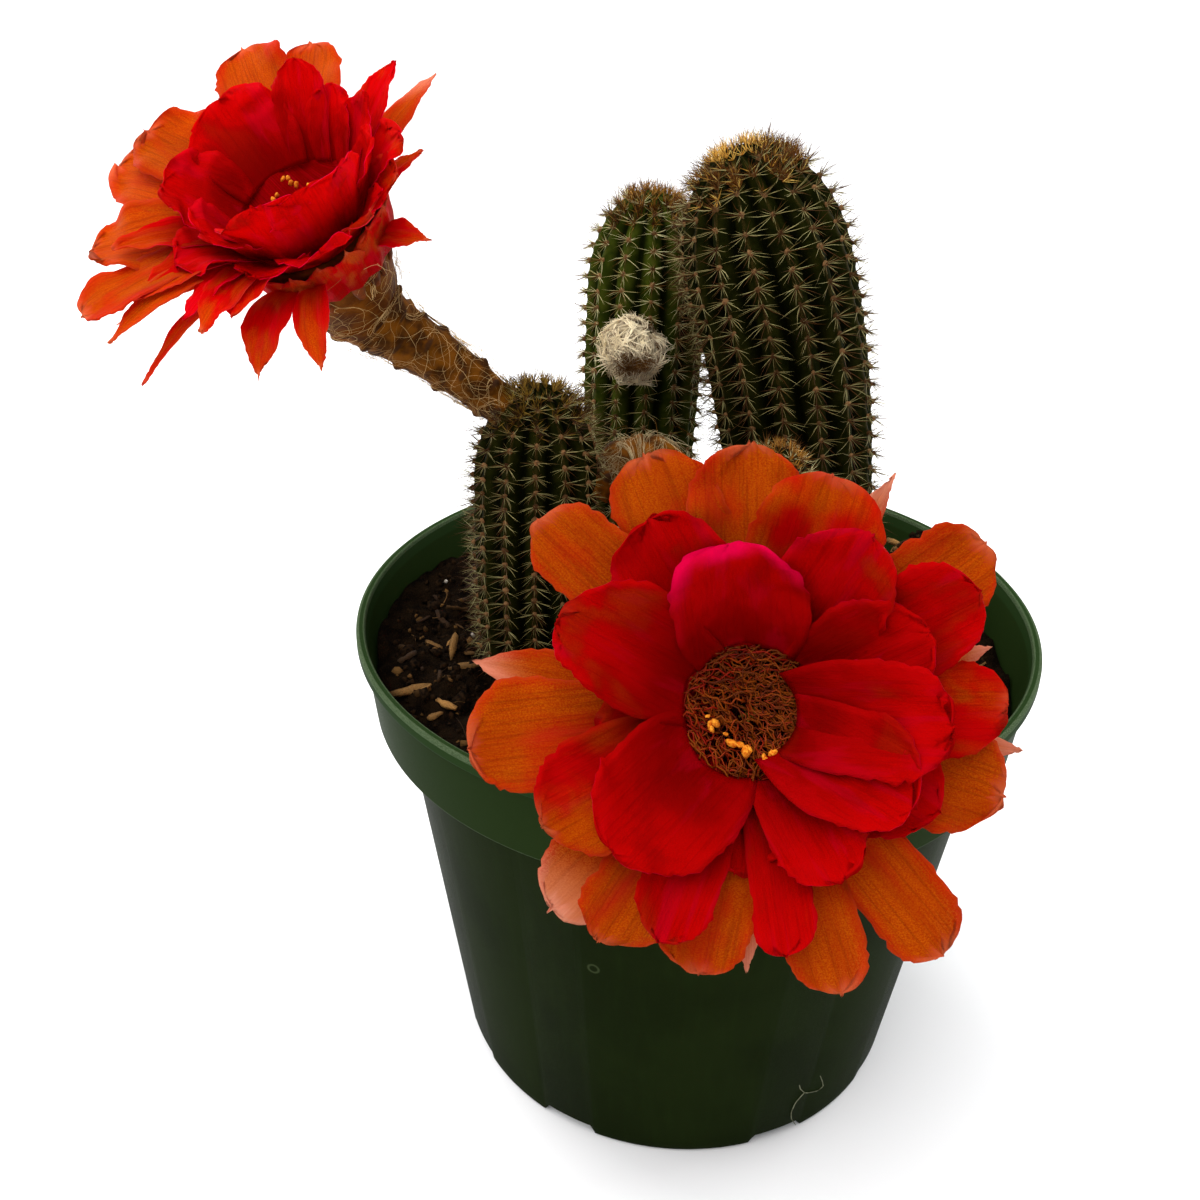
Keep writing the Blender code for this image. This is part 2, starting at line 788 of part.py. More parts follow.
def make_stamens(name, place, parts):
    """A pad that fills the foot of the inner cup, with rings of filaments round a hole for the style."""
    _, foot, mouth, _, _, _, _ = inner_cup()
    low = foot[1] + CLEARANCE
    slope = (mouth[0] - foot[0]) / (mouth[1] - foot[1])
    room = 1.6 * CLEARANCE
    profile = [
        (STYLE_HOLE, PAD_TOP),
        (foot[0] + slope * (PAD_TOP - foot[1]) - room, PAD_TOP),
        (foot[0] - room, low),
        (STYLE_HOLE, low),
        (STYLE_HOLE, PAD_TOP),
    ]
    pad = turned(name, profile, CUP_SIDES, parts, "stamens", place)
    turn = place.to_3x3()
    threads = []
    for ring, (radius, splay, count) in enumerate(FILAMENT_RINGS):
        for i in range(count):
            angle = 2 * math.pi * (i + 0.5 * ring) / count
            outward = Vector((math.cos(angle), math.sin(angle), 0))
            aim = turn @ (Vector((0, 0, 1)) + splay * outward).normalized()
            start = place @ ((radius * outward + Vector((0, 0, PAD_TOP))) * MM) / MM
            threads.append(spike(f"{name}_{ring}_{i}", start, aim, parts, FILAMENT_LENGTH, 0.5))
    join(pad, threads)
    return pad


def make_pistil(name, place, parts):
    """A style with a star of stigma lobes, standing in the stamens' hole."""
    low = inner_cup()[0][1] + CLEARANCE
    profile = [(0, STIGMA_HEIGHT), (0.9, STIGMA_HEIGHT - 0.4), (0.8, low), (0, low)]
    style = turned(name, profile, 8, parts, "pistil", place)
    turn = place.to_3x3()
    lobes = []
    for i in range(STIGMA_LOBES):
        angle = 2 * math.pi * i / STIGMA_LOBES
        outward = Vector((math.cos(angle), math.sin(angle), 0))
        start = place @ ((0.5 * outward + Vector((0, 0, STIGMA_HEIGHT - 0.6))) * MM) / MM
        aim = turn @ (outward + Vector((0, 0, 0.9))).normalized()
        lobes.append(spike(f"{name}_lobe_{i}", start, aim, parts, 1.8, 0.5))
    join(style, lobes)
    return style


def make_flower(name, centre, facing, petals, parts):
    place = flower_place(centre, facing)
    make_petals(name + "_outer_petals", petals, ("under", "outer"), outer_cup(), place, parts)
    make_petals(name + "_inner_petals", petals, ("lower_inner", "inner"), inner_cup(), place, parts)
    make_stamens(name + "_stamens", place, parts)
    make_pistil(name + "_pistil", place, parts)


def main():
    clear_scene()
    parts = new_collection("potted_peanut_cactus")
    cutters = new_collection("cutters")
    make_pot(parts, cutters)
    make_soil(parts, cutters)
    left_foot, front_foot = bezier(LEFT_PATH, 0.05)[0], bezier(FRONT_PATH, 0.05)[0]
    sockets = [tube_socket("left", LEFT_PATH, cutters), tube_socket("front", FRONT_PATH, cutters)]
    make_stem("stem_left", parts, sockets, [(left_foot, 6.5), (front_foot, 6.5)])
    make_stem("stem_middle", parts, [bud_socket(cutters)], [(Vector(BUD_CENTRE), 9.0)])
    make_stem("stem_right", parts, [], [])
    make_stem("offset", parts, [], [])
    make_bud(parts)
    make_tube("flower_front_tube", FRONT_PATH, parts)
    make_tube("flower_left_tube", LEFT_PATH, parts)
    make_flower("flower_front", FRONT_CENTRE, FRONT_FACING, FRONT_PETALS, parts)
    make_flower("flower_left", LEFT_CENTRE, LEFT_FACING, LEFT_PETALS, parts)
    for made in parts.objects:
        made.data.shade_smooth()
        made.data.set_sharp_from_angle(angle=math.radians(40))


main()
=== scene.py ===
# %% [markdown]
# A peanut cactus in flower, in a round nursery pot.
#
# The real plant is a clump of soft, finger-thick stems. Each stem has rounded ribs, each rib carries a
# row of woolly cushions called areoles, and each areole carries a star of spines. The flowers sit on
# hairy tubes. The solids of the plant and its pot already exist as a fixed frame. This lesson dresses
# them: it makes a finer piece for each solid, in the same place, and gives every piece a finish built
# from shader nodes. Almost everything here repeats, so the pieces are made by short functions that fill
# arrays of points. Design values are in millimetres and degrees, and become metres where a mesh is made.

import math

import bmesh
import bpy
import numpy as np
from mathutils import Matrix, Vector, noise


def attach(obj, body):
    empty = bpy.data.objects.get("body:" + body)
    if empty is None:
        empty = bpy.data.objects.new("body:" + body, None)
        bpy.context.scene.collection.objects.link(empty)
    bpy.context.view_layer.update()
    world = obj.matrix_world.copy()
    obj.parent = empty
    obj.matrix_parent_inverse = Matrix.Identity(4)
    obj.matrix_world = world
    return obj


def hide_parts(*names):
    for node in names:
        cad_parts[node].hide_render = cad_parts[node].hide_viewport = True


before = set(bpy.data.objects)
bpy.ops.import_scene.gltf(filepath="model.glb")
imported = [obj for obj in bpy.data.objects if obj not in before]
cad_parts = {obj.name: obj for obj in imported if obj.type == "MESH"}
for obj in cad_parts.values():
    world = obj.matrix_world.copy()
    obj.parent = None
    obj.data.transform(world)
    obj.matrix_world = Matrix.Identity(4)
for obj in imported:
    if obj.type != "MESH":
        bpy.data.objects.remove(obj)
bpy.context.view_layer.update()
MM = 0.001
print("nodes:", ", ".join(sorted(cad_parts)))

# %% [markdown]
# The camera stands where the photographer stood: a little above the pot and close to it, so that the pot's
# foot looks much smaller than its rim. A camera can be aimed with a constraint, but here its own axes
# are known from the ellipses of the pot's rim and foot, so they go straight into its matrix.

# %% Camera
CAMERA_PLACE = Vector((0.0, -185.7, 184.3))
CAMERA_RIGHT = Vector((0.9960, 0.0885, 0.0144))
CAMERA_UP = Vector((-0.0557, 0.4851, 0.8727))
CAMERA_LENS = 40.69
SENSOR_WIDTH = 36.0


def make_camera():
    camera = bpy.data.objects.new("camera", bpy.data.cameras.new("camera"))
    camera.data.lens = CAMERA_LENS
    camera.data.sensor_width = SENSOR_WIDTH
    camera.data.clip_start = 0.01
    right = CAMERA_RIGHT.normalized()
    back = right.cross(CAMERA_UP).normalized()
    for column, axis in enumerate((right, back.cross(right), back, CAMERA_PLACE * MM)):
        for row in range(3):
            camera.matrix_world[row][column] = axis[row]
    bpy.context.scene.collection.objects.link(camera)
    bpy.context.scene.camera = camera
    return camera


print("camera at", make_camera().location)

# %% [markdown]
# A white table under a large soft lamp gives the even light of a product photograph. Two tall softboxes
# stand behind the plant, because the light that comes from behind is what makes petals glow and draws
# a bright edge round each stem. The side towards the camera gets little light and stays deep in colour.

# %% Floor and lights
LIGHT_TARGET = Vector((0, 0, 80))
SOFTBOXES = {
    "back_left": ((-480, 380, 300), 420, 2.4),
    "back_right": ((520, 340, 260), 420, 2.6),
}
SKY_FROM = Vector((-0.28, -0.22, 1.0))
SKY_STRENGTH = 3.7
SKY_SPREAD = 75
WORLD_COLOUR = (0.96, 0.97, 1.0)
WORLD_STRENGTH = 0.55


def make_lamp(name, kind, strength, place, target):
    lamp = bpy.data.lights.new(name, kind)
    lamp.energy = strength
    made = bpy.data.objects.new(name, lamp)
    made.location = place * MM
    made.rotation_euler = (place - target).to_track_quat("Z", "Y").to_euler()
    bpy.context.scene.collection.objects.link(made)
    return lamp


def make_stage():
    bpy.ops.mesh.primitive_plane_add(size=12)
    floor = bpy.context.object
    floor.name = "floor"
    floor.location.z = -0.1 * MM
    paint = bpy.data.materials.new("floor_white")
    paint.use_nodes = True
    paint.node_tree.nodes["Principled BSDF"].inputs["Base Color"].default_value = (0.87, 0.87, 0.87, 1)
    paint.node_tree.nodes["Principled BSDF"].inputs["Roughness"].default_value = 0.8
    floor.data.materials.append(paint)
    for name, (place, size, watts) in SOFTBOXES.items():
        make_lamp(name, "AREA", watts, Vector(place), LIGHT_TARGET).size = size * MM
    sky = make_lamp("sky", "SUN", SKY_STRENGTH, LIGHT_TARGET + SKY_FROM * 600, LIGHT_TARGET)
    sky.angle = math.radians(SKY_SPREAD)
    world = bpy.data.worlds.new("studio")
    world.use_nodes = True
    world.node_tree.nodes["Background"].inputs["Color"].default_value = (*WORLD_COLOUR, 1)
    world.node_tree.nodes["Background"].inputs["Strength"].default_value = WORLD_STRENGTH
    bpy.context.scene.world = world
    bpy.context.scene.view_settings.view_transform = "Standard"


make_stage()
print("softboxes:", len(SOFTBOXES))

# %% [markdown]
# Every piece becomes a mesh from an array of points and blocks of faces. Values that a finish needs, such
# as how far up a spine a point lies, are stored on the points as named attributes, so that a shader node
# can read them. That keeps patterns fixed to the surface however the piece was bent into place.

# %% Meshes from arrays
def unit(vectors):
    return vectors / np.maximum(np.linalg.norm(vectors, axis=-1, keepdims=True), 1e-12)


def smooth(low, high, value):
    share = np.clip((value - low) / (high - low), 0, 1)
    return share * share * (3 - 2 * share)


def add_piece(name, points, faces, finish, node=None, marks=None):
    """A smooth mesh from points in millimetres. It may stand for a node of the frame."""
    mesh = bpy.data.meshes.new(name)
    corners = [face for block in faces for face in np.asarray(block).tolist()]
    mesh.from_pydata((np.asarray(points).reshape(-1, 3) * MM).tolist(), [], corners)
    for mark, values in (marks or {}).items():
        kind, field = ("FLOAT_VECTOR", "vector") if values.ndim == 2 else ("FLOAT", "value")
        made = mesh.attributes.new(mark, kind, "POINT")
        made.data.foreach_set(field, values.astype(np.float32).ravel())
    mesh.shade_smooth()
    mesh.materials.append(finish)
    piece = bpy.data.objects.new(name, mesh)
    bpy.context.scene.collection.objects.link(piece)
    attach(piece, "root")
    if node:
        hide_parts(node)
    print(f"{name}: {sum(len(face) - 2 for face in corners)} triangles")
    return piece


def grid_faces(rows, columns, flip=False, start=0):
    """Faces over a tube of points, ring after ring. The last column joins the first."""
    row, column = np.meshgrid(np.arange(rows - 1), np.arange(columns), indexing="ij")
    low, following = row * columns, (column + 1) % columns
    corners = [low + column, low + following, low + columns + following, low + columns + column]
    quads = np.stack(corners, -1).reshape(-1, 4) + start
    return quads[:, ::-1] if flip else quads


def end_caps(rows, columns, flip=False, start=0):
    """One face over the first ring of a tube and one over its last."""
    first = np.arange(columns)[None, :: 1 if flip else -1] + start
    last = np.arange(columns)[None, :: -1 if flip else 1] + (rows - 1) * columns + start
    return [first, last]


def closed_faces(rows, columns, flip=False, start=0):
    """Faces over a tube of points with both of its ends closed."""
    return [grid_faces(rows, columns, flip, start), *end_caps(rows, columns, flip, start)]


print("3 rings of 4 points carry", sum(len(block) for block in closed_faces(3, 4)), "faces")

# %% [markdown]
# Spines, hairs, filaments and slivers of bark are one shape at different sizes: a thin tube round a bent
# path. Blender's hair curves would draw them well but have no faces to keep, so each becomes a small
# mesh tube. A whole coat is one array of paths, which makes thousands of tubes in one go.

# %% Threads along paths
def thread_mesh(paths, radii, sides=3, flat=1.0, pointed=True):
    """Points and faces of a tube round each of the paths, an array of (threads, steps, 3).

    A pointed tube is open at its root and ends in a tip. Any other has a flat face at both ends.
    """
    count, steps, _ = paths.shape
    ahead = unit(np.gradient(paths, axis=1))
    least = np.eye(3)[np.abs(ahead[:, 0]).argmin(axis=1)][:, None, :]
    across = unit(np.cross(ahead, least))
    over = np.cross(ahead, across) * flat
    turns = 2 * np.pi * np.arange(sides) / sides
    ring = np.cos(turns)[:, None] * across[:, :, None, :] + np.sin(turns)[:, None] * over[:, :, None, :]
    radii = np.array(np.broadcast_to(radii, (count, steps)), float)
    if pointed:
        radii[:, -1] = 0
    points = paths[:, :, None, :] + radii[:, :, None, None] * ring
    starts = (np.arange(count) * steps * sides)[:, None, None]
    quads = grid_faces(steps, sides)
    if pointed:
        ends = [quads[-sides:, [0, 1, 2]]]
        quads = quads[:-sides]
    else:
        ends = end_caps(steps, sides)
    faces = [(part[None] + starts).reshape(-1, part.shape[1]) for part in (quads, *ends) if len(part)]
    return points.reshape(-1, 3), faces


def thread_marks(paths, tone, kind=0.0, sides=3):
    """For each point of the threads: how far along it lies, and its thread's own tone and kind."""
    count, steps, _ = paths.shape
    along = np.linspace(0, 1, steps)[None, :, None]
    tone, kind = (np.broadcast_to(part, count)[:, None, None] for part in (tone, kind))
    marks = [np.broadcast_to(part, (count, steps, sides)) for part in (along, tone, kind)]
    return {"thread": np.stack(marks, -1).reshape(-1, 3)}


def ball_mesh(level):
    """Points and triangles of a ball with a radius of one."""
    bm = bmesh.new()
    bmesh.ops.create_icosphere(bm, subdivisions=level, radius=1)
    ball = np.array([v.co[:] for v in bm.verts])
    faces = np.array([[v.index for v in f.verts] for f in bm.faces])
    bm.free()
    return ball, faces


def lump_mesh(places, sizes, rng, level=1, rough=0.25):
    """Small rough stones: balls, each stretched, turned and dented in its own way."""
    ball, faces = ball_mesh(level)
    count = len(places)
    dented = ball[None] * (1 + rng.uniform(-rough, rough, (count, len(ball), 1)))
    turns, _ = np.linalg.qr(rng.normal(size=(count, 3, 3)))
    turns[np.linalg.det(turns) < 0, :, 0] *= -1
    stretched = dented * np.asarray(sizes)[:, None, :]
    points = np.asarray(places)[:, None, :] + np.einsum("nij,npj->npi", turns, stretched)
    starts = (np.arange(count) * len(ball))[:, None, None]
    return points.reshape(-1, 3), [(faces[None] + starts).reshape(-1, 3)], len(ball)


print("a pointed thread of 4 steps has", sum(map(len, thread_mesh(np.zeros((1, 4, 3)), 1)[1])), "faces")

# %% [markdown]
# A finish is a node tree. These helpers keep each tree short: one adds a node and fills its inputs, the
# others mix two colours, do a sum or read an attribute. Effects that several finishes need are node
# groups, built once: a soft mottle in two colours, and a grain that tilts the normal. Petals and wool
# also let light through, so they take a share of a translucent shader.

# %% Shader helpers
def node(tree, kind, inputs=None, **settings):
    """Adds a node, gives it its settings and fills its inputs with values or links."""
    made = tree.nodes.new("ShaderNode" + kind)
    for key, value in settings.items():
        setattr(made, key, value)
    for key, value in (inputs or {}).items():
        if isinstance(value, bpy.types.NodeSocket):
            tree.links.new(value, made.inputs[key])
        else:
            made.inputs[key].default_value = value
    return made


def rgb(colour):
    """A colour as its sRGB values from 0 to 255, turned into linear light."""
    linear = [((c / 255 + 0.055) / 1.055) ** 2.4 if c > 10 else c / 255 / 12.92 for c in colour]
    return (*linear, 1)


def mix(tree, share, low, high):
    """Mixes two colours. Each is a link or sRGB values from 0 to 255."""
    low, high = (rgb(colour) if isinstance(colour, tuple) else colour for colour in (low, high))
    made = node(tree, "Mix", {0: share, 6: low, 7: high}, data_type="RGBA", clamp_factor=True)
    return made.outputs[2]


def sum_of(tree, operation, first, second=0.0, third=0.0):
    made = node(tree, "Math", {0: first, 1: second, 2: third}, operation=operation)
    return made.outputs[0]


def between(tree, value, low, high, bottom=0.0, top=1.0):
    """Runs smoothly from bottom to top as the value goes from low to high."""
    inputs = {"Value": value, "From Min": low, "From Max": high, "To Min": bottom, "To Max": top}
    return node(tree, "MapRange", inputs, interpolation_type="SMOOTHSTEP").outputs["Result"]


def split_mark(tree, name):
    """The three values of a named attribute."""
    read = node(tree, "Attribute", attribute_name=name)
    return node(tree, "SeparateXYZ", {0: read.outputs["Vector"]}).outputs


def new_finish(name, roughness=0.5, **constants):
    """A material with its tree and its Principled shader, whose constant values are set here."""
    made = bpy.data.materials.new(name)
    made.use_nodes = True
    shader = made.node_tree.nodes["Principled BSDF"]
    shader.inputs["Roughness"].default_value = roughness
    shader.inputs["Specular IOR Level"].default_value = 0.12
    for key, value in constants.items():
        shader.inputs[key.replace("_", " ")].default_value = value
    return made, made.node_tree, shader


def new_group(name, inputs, outputs):
    """An empty node group with named sockets, and its two end nodes."""
    tree = bpy.data.node_groups.new(name, "ShaderNodeTree")
    for socket, kind, value in inputs:
        made = tree.interface.new_socket(socket, in_out="INPUT", socket_type="NodeSocket" + kind)
        made.default_value = value
    for socket, kind in outputs:
        tree.interface.new_socket(socket, in_out="OUTPUT", socket_type="NodeSocket" + kind)
    return tree, tree.nodes.new("NodeGroupInput").outputs, tree.nodes.new("NodeGroupOutput").inputs


def filled_group(tree, group, inputs):
    return node(tree, "Group", inputs, node_tree=group).outputs


def make_mottle():
    """Two colours in soft patches over the surface."""
    inputs = [("Low", "Color", (0, 0, 0, 1)), ("High", "Color", (1, 1, 1, 1)), ("Patches", "Float", 300.0)]
    tree, given, result = new_group("mottle", inputs, [("Color", "Color")])
    place = node(tree, "TexCoord").outputs["Object"]
    patches = node(tree, "TexNoise", {"Vector": place, "Scale": given["Patches"], "Detail": 4.0})
    share = between(tree, patches.outputs[0], 0.36, 0.64)
    tree.links.new(mix(tree, share, given["Low"], given["High"]), result["Color"])
    return tree


def make_grain():
    """A fine irregular relief, given as a normal."""
    inputs = [("Grains", "Float", 2000.0), ("Depth", "Float", 0.05), ("Strength", "Float", 0.5)]
    tree, given, result = new_group("grain", inputs, [("Normal", "Vector")])
    place = node(tree, "TexCoord").outputs["Object"]
    grains = node(tree, "TexNoise", {"Vector": place, "Scale": given["Grains"], "Detail": 5.0})
    distance = sum_of(tree, "MULTIPLY", given["Depth"], MM)
    bump = {"Height": grains.outputs[0], "Distance": distance, "Strength": given["Strength"]}
    tree.links.new(node(tree, "Bump", bump).outputs[0], result["Normal"])
    return tree


def mottle(tree, low, high, patches):
    """The colour of the mottle group. More patches to the metre make smaller ones."""
    return filled_group(tree, MOTTLE, {"Low": rgb(low), "High": rgb(high), "Patches": patches})["Color"]


def cover(tree, shader, colour, grains, depth, strength):
    """Gives a shader its colour and the relief of the grain group, whose depth is in millimetres."""
    tree.links.new(colour, shader.inputs["Base Color"])
    grain = filled_group(tree, GRAIN, {"Grains": grains, "Depth": depth, "Strength": strength})
    tree.links.new(grain["Normal"], shader.inputs["Normal"])


def let_light_through(tree, shader, share, inputs):
    """Mixes a share of a translucent shader into the finish."""
    glow = node(tree, "BsdfTranslucent", inputs).outputs[0]
    both = node(tree, "MixShader", {0: share, 1: shader.outputs[0], 2: glow}).outputs[0]
    tree.links.new(both, tree.nodes["Material Output"].inputs["Surface"])


def make_grained_finish(name, low, high, patches, roughness, grain=(6000.0, 0.1, 0.8)):
    """A mottle in two colours with a grain, for pieces that need no more."""
    made, tree, shader = new_finish(name, roughness)
    cover(tree, shader, mottle(tree, low, high, patches), *grain)
    return made


MOTTLE = make_mottle()
GRAIN = make_grain()
print("groups:", MOTTLE.name, GRAIN.name)

# %% [markdown]
# The pot is a thin plastic shell, drawn over a mould: a tapered body, a step, a rim band that flares and
# a lip. Eight drain notches break its foot. A lathe profile gives all of it. It runs from the middle of
# the floor up the inside, over the lip and down the outside, and its corners are rounded by small arcs
# so that they catch a line of light. The notches lift the points that lie in them.

# %% Pot shell
POT_HEIGHT = 80.0
LIP_RADIUS = 52.5
LIP_HEIGHT = 2.0
LIP_WIDTH = 1.4
BAND_TOP_RADIUS = 51.4
BAND_RADIUS = 50.2
BAND_FOOT = 66.0
BODY_TOP_RADIUS = 46.0
BASE_RADIUS = 37.3
WALL = 1.2
FLOOR = 1.6
POT_COLUMNS = 240
NOTCH_WIDTH = 9.0
NOTCH_HEIGHT = 2.2
NOTCH_DEPTH = 6.0
NOTCH_ANGLES = [quarter * 90 + offset for quarter in range(4) for offset in (-61, -26)]


def rounded(corners, steps=4):
    """A profile of (radius, height, rounding) with an arc in place of each rounded corner."""
    befores = [corners[0], *corners[:-1]]
    afters = [*corners[1:], corners[-1]]
    profile = []
    for before, (x, z, rounding), after in zip(befores, corners, afters):
        corner = np.array((x, z))
        if rounding == 0:
            profile.append(corner)
            continue
        start = corner + unit(np.array(before[:2]) - corner) * rounding
        end = corner + unit(np.array(after[:2]) - corner) * rounding
        for u in np.linspace(0, 1, steps):
            profile.append((1 - u) ** 2 * start + 2 * u * (1 - u) * corner + u * u * end)
    return np.array(profile)


def inner_wall(height):
    """Inner radius of the pot's band at a height."""
    share = (height - BAND_FOOT) / (POT_HEIGHT - BAND_FOOT)
    return BAND_RADIUS - WALL + share * (LIP_RADIUS - LIP_WIDTH - BAND_RADIUS + WALL)


def turned(profile, columns):
    """Points of a profile turned round +Z, row after row."""
    turns = 2 * np.pi * np.arange(columns) / columns
    radius, height = profile[:, :1], profile[:, 1:2]
    return np.stack([radius * np.cos(turns), radius * np.sin(turns), height + 0 * turns], -1).reshape(-1, 3)


def pot_profile():
    step = BAND_FOOT + WALL
    lip_foot = POT_HEIGHT - LIP_HEIGHT
    slope = (BODY_TOP_RADIUS - BASE_RADIUS) / BAND_FOOT
    return rounded([
        (1.0, FLOOR, 0), (30.0, FLOOR, 0), (BASE_RADIUS - WALL, FLOOR, 0.8),
        (BODY_TOP_RADIUS - WALL, step, 0.5), (inner_wall(step), step, 0.5),
        (LIP_RADIUS - LIP_WIDTH, POT_HEIGHT - 0.3, 0), (LIP_RADIUS - LIP_WIDTH + 0.2, POT_HEIGHT, 0.15),
        (LIP_RADIUS, POT_HEIGHT, 0.5), (LIP_RADIUS, lip_foot, 0.35),
        (BAND_TOP_RADIUS, lip_foot - 0.4, 0.25), (BAND_RADIUS, BAND_FOOT, 0.45),
        (BODY_TOP_RADIUS + 0.2, BAND_FOOT - 0.1, 0.3),
        (BASE_RADIUS + slope * NOTCH_HEIGHT, NOTCH_HEIGHT, 0), (BASE_RADIUS, 0, 0.9),
        (BASE_RADIUS - NOTCH_DEPTH, 0, 0), (1.0, 0, 0),
    ])


def make_pot(finish):
    profile = pot_profile()
    points = turned(profile, POT_COLUMNS)
    radius = np.hypot(points[:, 0], points[:, 1])
    angle = np.degrees(np.arctan2(points[:, 1], points[:, 0]))
    inside = np.repeat(np.arange(len(profile)) < len(profile) // 2, POT_COLUMNS)
    near_wall = radius > BASE_RADIUS - NOTCH_DEPTH - 0.1
    lowest = NOTCH_HEIGHT + np.where(inside, WALL, 0)
    for notch in NOTCH_ANGLES:
        off = np.abs((angle - notch + 180) % 360 - 180)
        within = near_wall & (np.radians(off) * BASE_RADIUS < NOTCH_WIDTH / 2)
        points[:, 2] = np.where(within & (points[:, 2] < lowest), lowest, points[:, 2])
    faces = closed_faces(len(profile), POT_COLUMNS, flip=True)
    return add_piece("pot_shell", points, faces, finish, "pot", {"pot": points})


print("points on the pot's profile:", len(pot_profile()))


# %% [markdown]
# The plastic is a dark bottle green with a satin skin. Drawing it over a mould leaves faint upright streaks
# and it has picked up dust and scuffs. A paler line along its edges is partly wear where they have rubbed
# and partly a painted highlight where they catch the light. The streaks come from noise that is stretched
# upwards, and the dull patches go into the roughness, where light finds them.
# Two things have dried onto its front: a drop, which left a ring, and a dead root with one branch.

# %% Pot finish
RING_MARK = (-11.7, -41.3, 42.4)
RING_RADIUS = 0.8
# Degrees round the pot and height, along the root and along its branch.
DRIED_ROOT = (
    (
        (-55.7, 1.0), (-57.8, 3.6), (-58.4, 5.6), (-57.8, 8.0), (-55.8, 9.8), (-54.6, 9.2), (-50.9, 8.1),
        (-49.5, 8.6), (-50.6, 10.6), (-52.0, 12.6),
    ),
    ((-55.8, 9.8), (-57.4, 11.4), (-58.1, 12.8)),
)


def make_pot_finish():
    made, tree, shader = new_finish("pot_green", 0.4, Specular_IOR_Level=0.005)
    across = node(tree, "Mapping", {0: node(tree, "TexCoord").outputs["Object"], 3: (1, 1, 0.05)})
    drawn = node(tree, "TexNoise", {0: across.outputs[0], "Scale": 700.0, "Detail": 5.0}).outputs[0]
    plastic = mottle(tree, (17, 25, 5), (21, 30, 7), 60.0)
    streaked = mix(tree, between(tree, drawn, 0.45, 0.8, 0, 0.08), plastic, (36, 54, 18))
    scuffs = node(tree, "TexNoise", {"Scale": 900.0, "Detail": 6.0, "Distortion": 1.5}).outputs[0]
    scuffed = mix(tree, between(tree, scuffs, 0.64, 0.76, 0, 0.2), streaked, (70, 88, 58))
    spot = node(tree, "Attribute", attribute_name="pot").outputs["Vector"]
    height = node(tree, "SeparateXYZ", {0: spot}).outputs[2]
    away = node(tree, "VectorMath", {0: spot, 1: RING_MARK}, operation="DISTANCE").outputs["Value"]
    off_ring = sum_of(tree, "ABSOLUTE", sum_of(tree, "SUBTRACT", away, RING_RADIUS))
    marked = mix(tree, between(tree, off_ring, 0.3, 0.05, 0, 0.22), scuffed, (92, 104, 70))
    on_band = between(tree, height, BAND_FOOT - 0.4, BAND_FOOT + 0.2, 0, 0.75)
    banded = mix(tree, on_band, marked, (31, 46, 18))
    lip = between(tree, height, POT_HEIGHT - LIP_HEIGHT - 0.5, POT_HEIGHT - LIP_HEIGHT, 0, 0.2)
    lipped = mix(tree, lip, banded, (44, 72, 40))
    # Partly wear, partly a painted highlight: a paler line along the top of the lip and the foot of the
    # band, where the edges catch the light.
    top_edge = sum_of(tree, "COMPARE", height, POT_HEIGHT - 0.3, 0.3)
    band_edge = sum_of(tree, "COMPARE", height, BAND_FOOT + 0.05, 0.22)
    edges = sum_of(tree, "MAXIMUM", top_edge, band_edge)
    wear_and_edge_highlight = sum_of(tree, "MULTIPLY", edges, between(tree, scuffs, 0.4, 0.62, 0.05, 0.5))
    cover(tree, shader, mix(tree, wear_and_edge_highlight, lipped, (112, 128, 98)), 1400.0, 0.03, 0.35)
    tree.links.new(between(tree, scuffs, 0.3, 0.75, 0.36, 0.58), shader.inputs["Roughness"])
    return made


def make_dried_root(finish):
    """A dead root as thin as a hair, with its one branch, on the outside of the pot."""
    steps, paths = 30, []
    for places in DRIED_ROOT:
        share = np.linspace(0, len(places) - 1, steps)
        degrees, height = (np.interp(share, range(len(places)), part) for part in zip(*places))
        radius = BASE_RADIUS + (BODY_TOP_RADIUS - BASE_RADIUS) * height / BAND_FOOT + 0.08
        turn = np.radians(degrees)
        paths.append(np.stack([radius * np.cos(turn), radius * np.sin(turn), height], -1))
    points, faces = thread_mesh(np.array(paths), np.full(steps, 0.1))
    return add_piece("dried_root", points, faces, finish)


make_pot(make_pot_finish())
make_dried_root(make_grained_finish("dried_root", (84, 86, 66), (122, 124, 100), 900.0, 0.8))

# %% [markdown]
# Potting mix is peat with bark in it. From close by it is a heap of crumbs, so a bumped sheet alone would
# look like felt. The bed is a closed body with real lumps on top, and loose pieces lie on it: crumbs of
# peat, slivers of bark, grains of perlite and fine dead roots. All of them follow one height function,
# so none floats. The mix is raised in one clump by the rim, at the back right.

# %% Potting mix
SOIL_LEVEL = 72.4
CLUMP_PLACE = (38.5, 25.5)
CLUMP_HEIGHT = 10.5
CLUMP_SPREAD = 46
SOIL_ROWS = 70
SOIL_COLUMNS = 210
SOIL_FOOT = 67.5
SOIL_REACH = 48.2
SOIL_GAP = 0.45
CRUMBS = 2900
BARK = 300
BARK_OUTLINE = np.array((0.75, 1.0, 1.0, 0.95, 0.9, 0.6))
BARK_SIDES = 5
PERLITE = 26
DEAD_ROOTS = 90
DEAD_ROOT_STEPS = 8


def ground(x, y):
    """Height of the potting mix, as in the solids."""
    waves = 0.9 * np.sin(0.23 * x + 1.0) * np.cos(0.19 * y) + 0.5 * np.sin(0.52 * x - 0.43 * y)
    away = (x - CLUMP_PLACE[0]) ** 2 + (y - CLUMP_PLACE[1]) ** 2
    return SOIL_LEVEL - 0.03 * x + waves + CLUMP_HEIGHT * np.exp(-away / CLUMP_SPREAD)


def lumps(x, y):
    """Coarse and fine lumps of the mix."""
    coarse = noise.noise(Vector((0.32 * x, 0.32 * y, 3.0)))
    fine = noise.noise(Vector((1.1 * x, 1.1 * y, 9.0)))
    return 1.2 * coarse + 0.7 * abs(fine) + 0.35 * noise.noise(Vector((2.6 * x, 2.6 * y, 5.0)))


